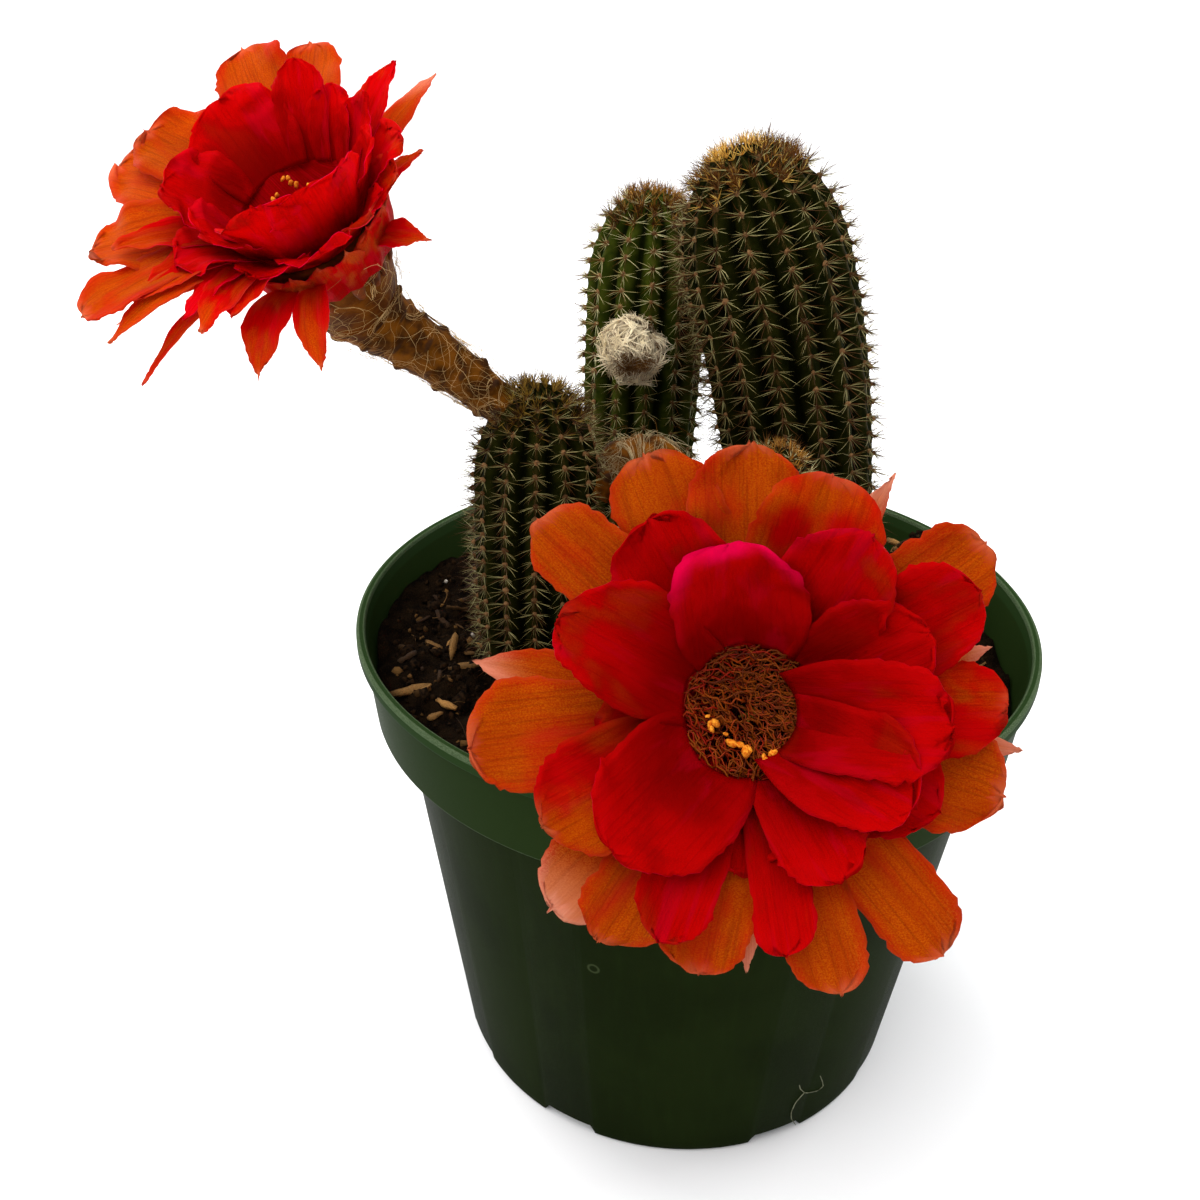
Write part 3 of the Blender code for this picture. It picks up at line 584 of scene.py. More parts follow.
def make_soil_bed(finish):
    flat_bottom = turned(np.array(((1.0, SOIL_FOOT), (SOIL_REACH, SOIL_FOOT))), SOIL_COLUMNS)
    rows = list(flat_bottom.reshape(2, SOIL_COLUMNS, 3))
    for radius in np.linspace(SOIL_REACH, 0.6, SOIL_ROWS):
        row = turned(np.array(((radius, 0.0),)), SOIL_COLUMNS)
        edge = inner_wall(np.minimum(ground(row[:, 0], row[:, 1]), POT_HEIGHT)) - SOIL_GAP
        row[:, :2] *= (edge / SOIL_REACH)[:, None]
        row[:, 2] = ground(row[:, 0], row[:, 1]) + [lumps(x, y) for x, y, _ in row]
        rows.append(row)
    points = np.concatenate(rows)
    return add_piece("soil_bed", points, closed_faces(len(rows), SOIL_COLUMNS), finish, "soil")


def scattered(rng, count, reach=47.3):
    """Random places on the bed, a little thicker on the clump."""
    radius = reach * np.sqrt(rng.uniform(0, 1, count))
    turn = rng.uniform(0, 2 * np.pi, count)
    x, y = radius * np.cos(turn), radius * np.sin(turn)
    on_clump = rng.uniform(size=count) < 0.05
    x = np.where(on_clump, CLUMP_PLACE[0] + rng.normal(0, 3.4, count), x)
    y = np.where(on_clump, CLUMP_PLACE[1] + rng.normal(0, 3.4, count), y)
    keep = np.hypot(x, y) < reach
    x, y = x[keep], y[keep]
    bumps = np.array([lumps(a, b) for a, b in zip(x, y)])
    return np.stack([x, y, ground(x, y) + bumps], -1)


def make_crumbs(finish):
    rng = np.random.default_rng(11)
    places = scattered(rng, CRUMBS)
    size = rng.lognormal(math.log(0.46), 0.5, len(places)).clip(0.2, 1.7)[:, None]
    sizes = size * rng.uniform(0.6, 1.2, (len(places), 3))
    points, faces, each = lump_mesh(places, sizes, rng, rough=0.45)
    marks = np.repeat(rng.uniform(size=len(places)), each)
    return add_piece("soil_crumbs", points, faces, finish, marks={"tone": marks})


def make_perlite(finish):
    rng = np.random.default_rng(5)
    places = scattered(rng, PERLITE) + (0, 0, 0.15)
    sizes = rng.uniform(0.25, 0.75, (len(places), 1)) * rng.uniform(0.7, 1.1, (len(places), 3))
    points, faces, _ = lump_mesh(places, sizes, rng, level=2, rough=0.12)
    return add_piece("perlite", points, faces, finish)


def lying_paths(rng, places, lengths, steps, bend, tilt):
    """Paths of things that lie on the bed: nearly level, pointing anywhere and a little bent."""
    yaw = rng.uniform(0, 2 * np.pi, len(places))
    pitch = rng.normal(0, tilt, len(places))
    ahead = np.stack([np.cos(yaw) * np.cos(pitch), np.sin(yaw) * np.cos(pitch), np.sin(pitch)], -1)
    aside = unit(np.cross(ahead, rng.normal(size=ahead.shape)))
    share = np.linspace(-0.5, 0.5, steps)[None, :, None]
    lengths = lengths[:, None, None]
    straight = places[:, None, :] + lengths * share * ahead[:, None, :]
    return straight + (0.25 - share * share) * bend * lengths * aside[:, None, :]


def make_bark(finish):
    rng = np.random.default_rng(21)
    places = scattered(rng, BARK, 46.0) + (0, 0, 0.2)
    lengths = rng.lognormal(math.log(2.6), 0.45, len(places)).clip(1.2, 6.0)
    width = (0.12 * lengths + 0.16) * rng.uniform(0.6, 1.5, len(places))
    steps = len(BARK_OUTLINE)
    jagged = rng.uniform(0.55, 1.25, (len(places), steps)) * BARK_OUTLINE * width[:, None]
    paths = lying_paths(rng, places, lengths, steps, 0.2, 0.4)
    points, faces = thread_mesh(paths, jagged, BARK_SIDES, flat=0.5, pointed=False)
    marks = thread_marks(paths, rng.uniform(size=len(places)), sides=BARK_SIDES)
    return add_piece("bark_slivers", points, faces, finish, marks=marks)


def make_dead_roots(finish):
    rng = np.random.default_rng(31)
    places = scattered(rng, DEAD_ROOTS, 46.0) + (0, 0, 0.45)
    lengths = rng.uniform(2, 8, len(places))
    paths = lying_paths(rng, places, lengths, DEAD_ROOT_STEPS, 1.1, 0.2)
    points, faces = thread_mesh(paths, np.linspace(0.09, 0.04, DEAD_ROOT_STEPS))
    marks = thread_marks(paths, rng.uniform(size=len(places)))
    return add_piece("dead_roots", points, faces, finish, marks=marks)


print("top of the clump:", round(float(ground(*CLUMP_PLACE)), 1), "mm")

# %% [markdown]
# Wet peat is nearly black and has no shine, so its colour hardly matters and its relief does everything.
# Bark runs from grey brown to a warm tan, each sliver in its own tone, with fibres along its length.

# %% Finishes of the mix
def make_peat_finish():
    made, tree, shader = new_finish("peat", 0.95, Specular_IOR_Level=0.02)
    peat = mottle(tree, (4, 2, 1), (20, 12, 5), 420.0)
    fine = node(tree, "TexNoise", {"Scale": 2600.0, "Detail": 4.0}).outputs[0]
    flecked = mix(tree, between(tree, fine, 0.6, 0.7, 0, 0.5), peat, (84, 62, 40))
    cover(tree, shader, flecked, 2400.0, 0.5, 1.0)
    return made


def make_crumb_finish():
    made, tree, shader = new_finish("peat_crumbs", 0.92, Specular_IOR_Level=0.03)
    tone = node(tree, "Attribute", attribute_name="tone").outputs["Fac"]
    peat = mottle(tree, (7, 4, 2), (36, 23, 11), 1500.0)
    warm = mix(tree, between(tree, tone, 0.84, 1.0), peat, (96, 68, 36))
    cover(tree, shader, warm, 5000.0, 0.25, 0.9)
    return made


def make_bark_finish():
    made, tree, shader = new_finish("bark", 0.85)
    along, tone, _ = split_mark(tree, "thread")
    wood = mix(tree, sum_of(tree, "POWER", tone, 2.0), (46, 27, 9), (206, 150, 80))
    fibres = node(tree, "TexNoise", {"Scale": 1800.0, "Detail": 5.0, "Distortion": 2.0}).outputs[0]
    fibrous = mix(tree, between(tree, fibres, 0.35, 0.62, 0, 0.85), (30, 20, 12), wood)
    charred = mix(tree, between(tree, along, 0.75, 1.0, 0, 0.5), fibrous, (24, 16, 10))
    cover(tree, shader, charred, 3000.0, 0.3, 0.9)
    return made


PERLITE_COLOURS = ((120, 112, 98), (206, 200, 188))
PERLITE_WHITE = make_grained_finish("perlite_white", *PERLITE_COLOURS, 1200.0, 0.8, (4000.0, 0.15, 0.8))
BARK_FINISH = make_bark_finish()
make_soil_bed(make_peat_finish())
make_crumbs(make_crumb_finish())
make_bark(BARK_FINISH)
make_dead_roots(BARK_FINISH)
make_perlite(PERLITE_WHITE)

# %% [markdown]
# A stem is a soft ribbed finger. Its axis is a smooth curve that leaves the root towards a knee and ends
# at the crown, and its girth grows from the root and closes in a dome. Seen in section the ribs are
# round on top and meet in a sharp crease, which the absolute value of a cosine draws exactly. Each
# areole sits on a low bump. A stem's values are its root, knee and crown, its radius and its ribs.

# %% Stems
STEMS = {
    "stem_left": ((-23.6, -7.4, 52), (-24.9, -7.8, 88), (-23.4, -8.0, 118.3), 8.9, 13),
    "stem_middle": ((-11.0, 24.5, 50), (-11.6, 25.5, 100), (-9.9, 25.6, 137.8), 9.5, 13),
    "stem_right": ((18.0, 16.2, 48), (18.6, 15.6, 108), (1.9, 10.8, 147.2), 12.2, 15),
    "offset": ((10.8, -5.0, 58), (10.4, -5.2, 90), (10.6, -5.2, 109.2), 5.4, 8),
}
AREOLE_SPACING = {"stem_left": 2.2, "stem_middle": 2.6, "stem_right": 2.75, "offset": 2.2}
HIGHEST_AREOLE = 0.985
RIB_DEPTH = 0.17
DOME_LENGTH = 1.7
STEM_ROWS = 110
DOME_ROWS = 30
COLUMNS_A_RIB = 9
AREOLE_RISE = 0.28


def bezier(points, u):
    """Points and directions at the shares u of a Bezier curve."""
    layers = [np.array(point, float)[None, :] for point in points]
    u = np.asarray(u, float).reshape(-1, 1)
    while len(layers) > 2:
        layers = [a + (b - a) * u for a, b in zip(layers, layers[1:])]
    ahead = layers[1] - layers[0] + 0 * u
    return layers[0] + ahead * u, unit(ahead)


def square_to(ahead):
    """Two directions square to each of these, the first as near to +X as it can be."""
    across = np.array((1.0, 0, 0))
    first = unit(across - ahead * (ahead @ across)[:, None])
    return first, np.cross(ahead, first)


def stem_length(stem):
    """Distance from a stem's root to its crown."""
    return float(np.linalg.norm(np.subtract(stem[2], stem[0])))


def dome_start(stem):
    """Where on its axis a stem begins to close in its dome."""
    return 1 - DOME_LENGTH * stem[3] / stem_length(stem)


def girth(stem, u):
    """Radius over the ribs at u, from the root tip at 0 to the crown at 1, as in the solids."""
    start = dome_start(stem)
    side = 0.55 + 0.37 * smooth(0, 0.2, u) + 0.08 * smooth(0.25, 0.7, u)
    dome = np.maximum(u - start, 0) / (1 - start)
    return stem[3] * side * np.sqrt(np.maximum(1 - dome * dome, 0))


def soil_share(stem):
    """Where on its axis a stem comes out of the mix."""
    u = np.linspace(0, 1, 101)
    middle, _ = bezier(stem[:3], u)
    return float(u[(middle[:, 2] > ground(middle[:, 0], middle[:, 1])).argmax()])


def areole_rows(name):
    """The lowest and highest areole on a stem's axis, and how many lie between on one rib."""
    lowest = soil_share(STEMS[name]) + 0.02
    count = round((HIGHEST_AREOLE - lowest) * stem_length(STEMS[name]) / AREOLE_SPACING[name])
    return lowest, HIGHEST_AREOLE, count


def make_flesh(name, finish):
    stem, ribs = STEMS[name], STEMS[name][4]
    columns = ribs * COLUMNS_A_RIB
    buried = soil_share(stem)
    start = dome_start(stem)
    side = np.linspace(0, start, STEM_ROWS)
    dome = start + (1 - start) * np.sin(np.radians(np.linspace(2, 88, DOME_ROWS)))
    u = np.concatenate([side, dome])
    centre, ahead = bezier(stem[:3], u)
    first, second = square_to(ahead)
    turn = 2 * np.pi * np.arange(columns) / columns
    crease = 1 - np.abs(np.cos(ribs * turn / 2))
    depth = RIB_DEPTH * smooth(buried * 0.5, buried, u)[:, None]
    lowest, highest, count = areole_rows(name)
    rib = np.round(turn * ribs / (2 * np.pi)) % ribs
    phase = (u[:, None] - lowest) / (highest - lowest) * (count - 0.5) - 0.5 * (rib % 2)[None, :]
    bump = (0.5 + 0.5 * np.cos(2 * np.pi * phase)) ** 2 * (1 - crease) ** 4
    bump = bump * smooth(buried, buried + 0.05, u)[:, None] * smooth(0, 3.0, girth(stem, u))[:, None]
    radius = girth(stem, u)[:, None] * (1 - depth * crease) + AREOLE_RISE * (bump - 0.3)
    cosines, sines = np.cos(turn)[None, :, None], np.sin(turn)[None, :, None]
    outward = cosines * first[:, None, :] + sines * second[:, None, :]
    points = centre[:, None, :] + radius[:, :, None] * outward
    height = points[:, :, 2] - ground(points[:, :, 0], points[:, :, 1])
    marks = np.stack([1 - crease + 0 * radius, bump, height], -1).reshape(-1, 3)
    faces = closed_faces(len(u), columns)
    return add_piece(name + "_flesh", points, faces, finish, name, {"skin": marks})


for stem_name in STEMS:
    print(stem_name, "comes out of the mix at", round(soil_share(STEMS[stem_name]), 2), "of its length")

# %% [markdown]
# The skin is painted darkest in the creases, as the shade that falls there, and lighter on the ribs. Tiny
# pale dots lie all over it, and low on the stem it turns brown and corky with age. The middle stem is a
# brighter green than the others. The skin has hardly any shine, which keeps it from looking like plastic.

# %% Skin of the stems
def make_skin(name, crease, ridge, flush):
    made, tree, shader = new_finish(name, 0.6, Specular_IOR_Level=0.008)
    crest, _, height = split_mark(tree, "skin")
    mottled = mottle(tree, ridge, flush, 500.0)
    # Painted shade: the skin turns to the near-black crease colour in the creases between the ribs.
    ribbed = mix(tree, between(tree, crest, 0.1, 0.95), crease, mottled)
    dots = node(tree, "TexVoronoi", {"Scale": 2600.0}).outputs["Distance"]
    dotted = mix(tree, between(tree, dots, 0.16, 0.05, 0, 0.3), ribbed, (110, 124, 66))
    aged = node(tree, "TexNoise", {"Scale": 350.0, "Detail": 4.0}).outputs[0]
    dry = sum_of(tree, "MULTIPLY", between(tree, crest, 0.95, 1.0), between(tree, aged, 0.4, 0.6, 0.0, 0.4))
    ridged = mix(tree, dry, dotted, (84, 66, 34))
    cork = between(tree, sum_of(tree, "ADD", height, sum_of(tree, "MULTIPLY", aged, 8.0)), 10.0, 3.0)
    corked = mix(tree, sum_of(tree, "MULTIPLY", cork, 0.75), ridged, (74, 62, 38))
    cover(tree, shader, corked, 1800.0, 0.12, 0.6)
    return made


# The first colour of each skin is the painted shade in the creases.
DARK_SKIN = make_skin("dark_skin", (3, 4, 0), (14, 17, 1), (28, 29, 4))
BRIGHT_SKIN = make_skin("bright_skin", (8, 12, 1), (36, 46, 6), (58, 66, 15))
for stem_name in STEMS:
    make_flesh(stem_name, BRIGHT_SKIN if stem_name == "stem_middle" else DARK_SKIN)

# %% [markdown]
# The spines are what the eye reads as cactus. Each areole is a small cushion of brown wool. A fan of
# thin cream spines lies round it, low over the stem, and six darker ones stand up from its middle. Each
# spine is drawn from the directions of the skin at its areole: outward, upward and sideways. A combing
# under one presses the fan to the sides, most of all on the left stem, so its ribs look like rows of
# fishbones. A stem's values are the spines in a fan, their length, their combing and their thickness.
# The areoles under the bud and the flower tubes stay bare: each bare spot is a place and a reach.

# %% Areoles
SPINES = {
    "stem_left": (14, 3.5, 0.4, 0.037),
    "stem_middle": (13, 3.4, 0.6, 0.038),
    "stem_right": (13, 4.2, 0.5, 0.04),
    "offset": (12, 2.8, 0.7, 0.036),
}
STANDING = 6
BARE_SPOTS = (((-11.8, 12.6, 116.8), 5.4), ((-15.8, -6.5, 101.5), 4.2), ((-27.5, -8.6, 114.0), 3.6))


def areoles(name):
    """Shares of the axis and turns at the areoles of a stem. Every second rib starts half a step higher."""
    lowest, highest, count = areole_rows(name)
    rib, row = np.meshgrid(np.arange(STEMS[name][4]), np.arange(count), indexing="ij")
    u = lowest + (highest - lowest) * (row + 0.5 * (rib % 2)) / (count - 0.5)
    return u.ravel(), (2 * np.pi * rib / STEMS[name][4]).ravel()


def on_skin(name, u, turn, rise=0.0):
    """Points over the ribs of a stem, with the outward, upward and sideways directions there."""

    def over(u):
        centre, ahead = bezier(STEMS[name][:3], u)
        first, second = square_to(ahead)
        outward = np.cos(turn)[:, None] * first + np.sin(turn)[:, None] * second
        return centre + (girth(STEMS[name], u) + rise)[:, None] * outward, outward

    point, outward = over(u)
    along = unit(over(np.minimum(u + 0.004, 0.9999))[0] - point)
    normal = unit(outward - along * (outward * along).sum(1, keepdims=True))
    return point, normal, along, np.cross(normal, along)


def clear_of_spots(points):
    """Which of the points lie outside every bare spot."""
    clear = np.ones(len(points), bool)
    for place, reach in BARE_SPOTS:
        clear &= np.linalg.norm(points - np.array(place), axis=1) > reach
    return clear


def fan_of(rng, frames, per, length, combing, lift, thickness, steps=3):
    """Paths and radii of so many spines per areole, raised from the skin by about lift degrees."""
    point, normal, along, aside = (np.repeat(part, per, axis=0) for part in frames)
    total = len(point)
    order = np.tile(np.arange(per), total // per) + np.repeat(rng.uniform(size=total // per), per)
    angle = 2 * np.pi * order / per + rng.normal(0, 0.24, total)
    rise = np.radians(rng.normal(lift, 10, total))[:, None]
    flat = np.cos(angle)[:, None] * aside + (combing * np.sin(angle) - 0.1)[:, None] * along
    aim = unit(np.cos(rise) * flat + np.sin(rise) * normal)
    length = length * rng.uniform(0.5, 1.15, total)[:, None] * np.linalg.norm(flat, axis=1, keepdims=True)
    share = np.linspace(0, 1, steps)[None, :, None]
    bend = (rng.normal(0, 0.1, (total, 3)) + 0.08 * normal)[:, None, :]
    paths = point[:, None, :] + length[:, None] * (share * aim[:, None, :] + share * share * bend)
    taper = 1 - 0.85 * np.linspace(0, 1, steps) ** 1.5
    return paths, thickness * rng.uniform(0.8, 1.25, total)[:, None] * taper


def make_spines(name, finish):
    rng = np.random.default_rng(len(name) * 7)
    per, length, combing, thickness = SPINES[name]
    u, turn = areoles(name)
    frames = on_skin(name, u, turn, AREOLE_RISE * 0.7)
    clear = clear_of_spots(frames[0])
    frames = [part[clear] for part in frames]
    lying = fan_of(rng, frames, per, length, combing, 27, thickness)
    standing = fan_of(rng, frames, STANDING, length * 0.95, 0.9, 56, thickness * 1.4)
    paths = np.concatenate([lying[0], standing[0]])
    radii = np.concatenate([lying[1], standing[1]])
    points, faces = thread_mesh(paths, radii)
    kind = np.repeat((0.0, 1.0), (len(lying[0]), len(standing[0])))
    marks = thread_marks(paths, rng.uniform(size=len(paths)), kind)
    return add_piece(name + "_spines", points, faces, finish, marks=marks)


def make_areole_wool(name, finish):
    rng = np.random.default_rng(len(name) * 5)
    u, turn = areoles(name)
    point = on_skin(name, u, turn, AREOLE_RISE * 0.5)[0]
    clear = clear_of_spots(point)
    size = np.minimum(0.46, 0.1 + 0.14 * girth(STEMS[name], u[clear]))[:, None]
    sizes = size * rng.uniform(0.75, 1.2, (clear.sum(), 3))
    points, faces, each = lump_mesh(point[clear], sizes, rng, rough=0.3)
    marks = np.repeat(rng.uniform(size=clear.sum()), each)
    return add_piece(name + "_wool", points, faces, finish, marks={"tone": marks})


for stem_name in STEMS:
    print(stem_name, "has", len(areoles(stem_name)[0]), "areoles")

# %% [markdown]
# At the crown the areoles are so young and close that their spines form one brush of tufts, which has its
# own colour on each stem: gold on the tall one, brown on the middle one and darkest on the left one. A
# crown's values are its tufts, the length of its spines, how much they follow the axis, how far inside
# the dome the tufts begin and the girth within which most spines stay pale.

# %% Crowns
CROWN_THICKNESS = 0.064
CROWN_STEPS = 2
TUFT = 10
CROWNS = {
    "stem_left": (130, 2.5, 0.2, 0.4, 5.0),
    "stem_middle": (130, 2.5, 0.3, 0.5, 5.0),
    "stem_right": (170, 2.3, 0.3, 0.5, 3.6),
    "offset": (44, 2.0, 0.4, 0.5, 4.0),
}


def make_crown(name, finish):
    rng = np.random.default_rng(len(name) * 3)
    tufts, length, upright, low, golden = CROWNS[name]
    count = tufts * TUFT
    start = dome_start(STEMS[name])
    u = start + (1 - start) * np.sqrt(rng.uniform(low, 1, tufts)) * 0.997
    rib = rng.integers(0, STEMS[name][4], tufts)
    turn = 2 * np.pi * (rib + rng.normal(0, 0.1, tufts)) / STEMS[name][4]
    u, turn = np.repeat(u, TUFT), np.repeat(turn, TUFT)
    point, normal, _, _ = on_skin(name, u, turn)
    _, ahead = bezier(STEMS[name][:3], u)
    spread = rng.normal(0, 0.6, (count, 3))
    aim = unit(normal + upright * ahead + spread)
    share = np.linspace(0, 1, CROWN_STEPS)[None, :, None]
    dark = rng.uniform(size=count) < 0.15 + 0.65 * smooth(0.7 * golden, 1.4 * golden, girth(STEMS[name], u))
    length = length * rng.uniform(0.5, 1.1, count) * np.where(dark, 1.35, 1)
    paths = point[:, None, :] + length[:, None, None] * share * aim[:, None, :]
    points, faces = thread_mesh(paths, CROWN_THICKNESS)
    marks = thread_marks(paths, rng.uniform(size=count), dark.astype(float))
    return add_piece(name + "_crown", points, faces, finish, marks=marks)


print("crown spines:", {name: values[0] * TUFT for name, values in CROWNS.items()})

# %% [markdown]
# A spine is darker at its foot and its tip, and the standing ones are brown throughout. Spines are hard,
# so they are smoother than the wool, and each has its own tone between cream and tan.

# %% Finishes of spines and wool
def make_spine_finish(name, foot, cream, tan, standing):
    made, tree, shader = new_finish(name, 0.45)
    along, tone, kind = split_mark(tree, "thread")
    body = mix(tree, tone, cream, tan)
    footed = mix(tree, between(tree, along, 0.0, 0.3), foot, body)
    tipped = mix(tree, between(tree, along, 0.7, 1.0, 0, 0.6), footed, standing)
    cover(tree, shader, mix(tree, kind, tipped, standing), 6000.0, 0.02, 0.4)
    return made


def make_wool_finish(name, low, high, deep, glowing=0.15):
    """Wool or hair: a tone between two colours, dirt that darkens it, and a share of light let through."""
    made, tree, shader = new_finish(name, 0.8, Specular_IOR_Level=0.04)
    tone = node(tree, "Attribute", attribute_name="tone").outputs["Fac"]
    wool = mix(tree, tone, low, high)
    patches = node(tree, "TexNoise", {"Scale": 700.0, "Detail": 4.0}).outputs[0]
    dirty = mix(tree, between(tree, patches, 0.52, 0.7, 0, 0.6), wool, deep)
    cover(tree, shader, dirty, 7000.0, 0.05, 0.3)
    let_light_through(tree, shader, glowing, {"Color": dirty})
    return made


DULL_SPINES = make_spine_finish("dull_spines", (70, 42, 16), (190, 182, 122), (100, 80, 36), (74, 42, 14))
GOLD_SPINES = make_spine_finish("gold_spines", (104, 72, 26), (246, 242, 184), (176, 156, 84), (96, 58, 18))
GOLD_CROWN = make_spine_finish("gold_crown", (170, 106, 20), (255, 224, 124), (232, 170, 60), (104, 62, 22))
BROWN_CROWN = make_spine_finish("brown_crown", (84, 46, 8), (194, 140, 58), (116, 70, 18), (66, 34, 8))
DARK_CROWN = make_spine_finish("dark_crown", (70, 42, 8), (168, 134, 52), (98, 68, 18), (50, 28, 6))
AREOLE_WOOL = make_wool_finish("areole_wool", (52, 32, 14), (140, 102, 66), (40, 24, 10), 0.05)
CROWN_FINISH = {
    "stem_left": DARK_CROWN, "stem_middle": BROWN_CROWN, "stem_right": GOLD_CROWN, "offset": BROWN_CROWN,
}
for stem_name in STEMS:
    make_spines(stem_name, GOLD_SPINES if stem_name in ("stem_middle", "offset") else DULL_SPINES)
    make_areole_wool(stem_name, AREOLE_WOOL)
    make_crown(stem_name, CROWN_FINISH[stem_name])

# %% [markdown]
# The flower bud is still hidden in a ball of ivory wool. The wool is lock after lock of curly hair, combed
# away from a point at the top right of the ball. Each hair walks over the surface in small steps while
# its heading keeps turning, and some let go of it at their loose ends. The hairs lie on a lumpy core,
# which only fills the gaps between them and is painted darker as the shade in those gaps. Hairs that lie
# lower are painted darker as shade, and a patch on the front of the ball is painted brown as a shadow.

# %% Woolly bud
BUD_CENTRE = np.array((-11.8, 12.6, 116.8))
BUD_CORE = 3.75
BUD_LEVEL = 5
BUD_LOCKS = 330
LOCK_HAIRS = 8
BUD_STEPS = 6
BUD_STRIDE = 0.14
PARTING = unit(np.array((0.5, -0.2, 0.85)))


def shadow_patch(directions):
    """One in the middle of the painted shadow on the bud's front, falling to zero round it."""
    away = np.hypot(0.75 * (directions[:, 0] - 0.1), 1.25 * (directions[:, 2] + 0.2))
    return smooth(0.66, 0.24, away) * (directions[:, 1] < 0)


def bud_radius(directions):
    """Distance from the centre to the lumpy core in each direction, with a faint crease."""
    lumps_here = [noise.noise(Vector(d) * 2.3) + 0.5 * noise.noise(Vector(d) * 5) for d in directions]
    crease = np.exp(-((directions @ PARTING - 0.95) / 0.03) ** 2)
    return (BUD_CORE + 0.55 * np.array(lumps_here) - 0.15 * crease) * (1 + 0.13 * directions[:, 2] ** 2)


def make_bud_core(finish):
    ball, faces = ball_mesh(BUD_LEVEL)
    points = BUD_CENTRE + ball * bud_radius(ball)[:, None]
    # The core is painted darker than most hairs as the shade in the gaps, and darker still under the
    # painted shadow.
    tone = 0.45 - 0.4 * shadow_patch(ball)
    return add_piece("bud_core", points, [faces], finish, "bud", {"tone": tone})


def in_locks(rng, values, hairs, jitter):
    """One value for each hair: the hairs of a lock share its value, give or take the jitter."""
    spread = np.repeat(values, hairs, axis=0)
    return spread + rng.normal(0, jitter, spread.shape)


def make_bud_wool(finish):
    """Locks of wool that leave the parting, each curling to its own side."""
    rng = np.random.default_rng(17)
    guide = unit(rng.normal(size=(BUD_LOCKS, 3)))
    place = unit(in_locks(rng, guide, LOCK_HAIRS, 0.045))
    count = len(place)
    away = unit(guide - PARTING * (guide @ PARTING)[:, None])
    combed = unit(away + 0.3 * np.cross(guide, away) + rng.normal(0, 0.4, guide.shape))
    heading = in_locks(rng, combed, LOCK_HAIRS, 0.08)
    heading = unit(heading - place * (heading * place).sum(1, keepdims=True))
    curl = in_locks(rng, rng.normal(0, 0.2, BUD_LOCKS), LOCK_HAIRS, 0.07)
    lift = np.abs(in_locks(rng, rng.uniform(0, 0.85, BUD_LOCKS), LOCK_HAIRS, 0.1))
    rise = np.abs(in_locks(rng, rng.normal(0.02, 0.09, BUD_LOCKS), LOCK_HAIRS, 0.05))
    steps, shade = [], []
    for step in range(BUD_STEPS):
        steps.append(BUD_CENTRE + place * (bud_radius(place) + lift + rise * step ** 2 / 3.6)[:, None])
        shade.append(1.1 * shadow_patch(place + rng.normal(0, 0.05, place.shape)))
        turn = (curl + rng.normal(0, 0.12, count))[:, None]
        heading = np.cos(turn) * heading + np.sin(turn) * np.cross(place, heading)
        place = unit(place + BUD_STRIDE * heading)
        heading = unit(heading - place * (heading * place).sum(1, keepdims=True))
    points, faces = thread_mesh(np.stack(steps, 1), np.linspace(0.09, 0.04, BUD_STEPS))
    # Lower hairs are painted darker as the shade among the locks, and the patch paints a shadow over the
    # hairs in it; each hair also darkens towards its start.
    tone = in_locks(rng, rng.uniform(-0.3, 0.9, BUD_LOCKS), LOCK_HAIRS, 0.06) + 0.9 * (lift - 0.1)
    tone = tone[:, None] + 0.4 * (np.linspace(0, 1, BUD_STEPS) - 0.4) - np.stack(shade, 1)
    marks = np.repeat(np.clip(tone, 0, 1).ravel(), 3)
    return add_piece("bud_wool", points, faces, finish, marks={"tone": marks})


print("hairs on the bud:", BUD_LOCKS * LOCK_HAIRS)
BUD_WOOL = make_wool_finish("bud_wool", (84, 48, 8), (255, 242, 206), (226, 184, 120), 0.06)
make_bud_core(BUD_WOOL)
make_bud_wool(BUD_WOOL)

# %% [markdown]
# Each flower stands on a long tube, which grows out of an areole. Small pointed scales wind round it, and
# from under each scale comes a tuft of long curly hair. The hairs are walked over the tube in its own
# coordinates: along it, round it and away from it. Most of them stay together in locks. Single stray
# hairs lie between the locks, and the front flower's coat is the thicker one.

# %% Flower tubes
TUBE_RADII = (2.7, 4.0, 6.5)
FUNNEL = 14.0
CUP_FLARE = 2.7
FLOWERS = {
    "flower_front": (np.array((7.3, -50.0, 94.0)), unit(np.array((-0.045, -0.832, 0.553)))),
    "flower_left": (np.array((-50.4, -20.6, 143.1)), unit(np.array((-0.21, -0.54, 0.815)))),
}
TUBE_ROWS = 110
TUBE_COLUMNS = 64
SCALE_TURN = 137.5
SCALE_STEP = 0.026
SCALE_RISE = 0.75
SCALE_LENGTH = 0.034
SCALE_WIDTH = 17
LOCKS = {"hairs": 6, "steps": 12, "stride": 0.8, "curl": 0.24, "wild": 0.12, "thickness": 0.034}
STRAYS = {"hairs": 1, "steps": 18, "stride": 0.8, "curl": 0.24, "wild": 0.2, "thickness": 0.03}
LOCK_COUNTS = {"flower_front_tube": 110, "flower_left_tube": 36}
STRAY_COUNT = 220


def tube_path(flower, start, first_pull, second_pull):
    """Four points of a Bezier curve from an areole to the foot of a flower's cup."""
    centre, facing = FLOWERS[flower]
    end = centre - facing * FUNNEL
    return np.array(start), np.array(first_pull), end - facing * second_pull, end


TUBES = {
    "flower_front_tube": tube_path("flower_front", (-15.8, -6.5, 101.5), (-2.0, 2.0, 122.0), 18),
    "flower_left_tube": tube_path("flower_left", (-27.5, -8.6, 114.0), (-36.0, -8.0, 122.0), 6),
}


def tube_length(path):
    track = bezier(path, np.linspace(0, 1, 30))[0]
    return float(np.linalg.norm(np.diff(track, axis=0), axis=1).sum())


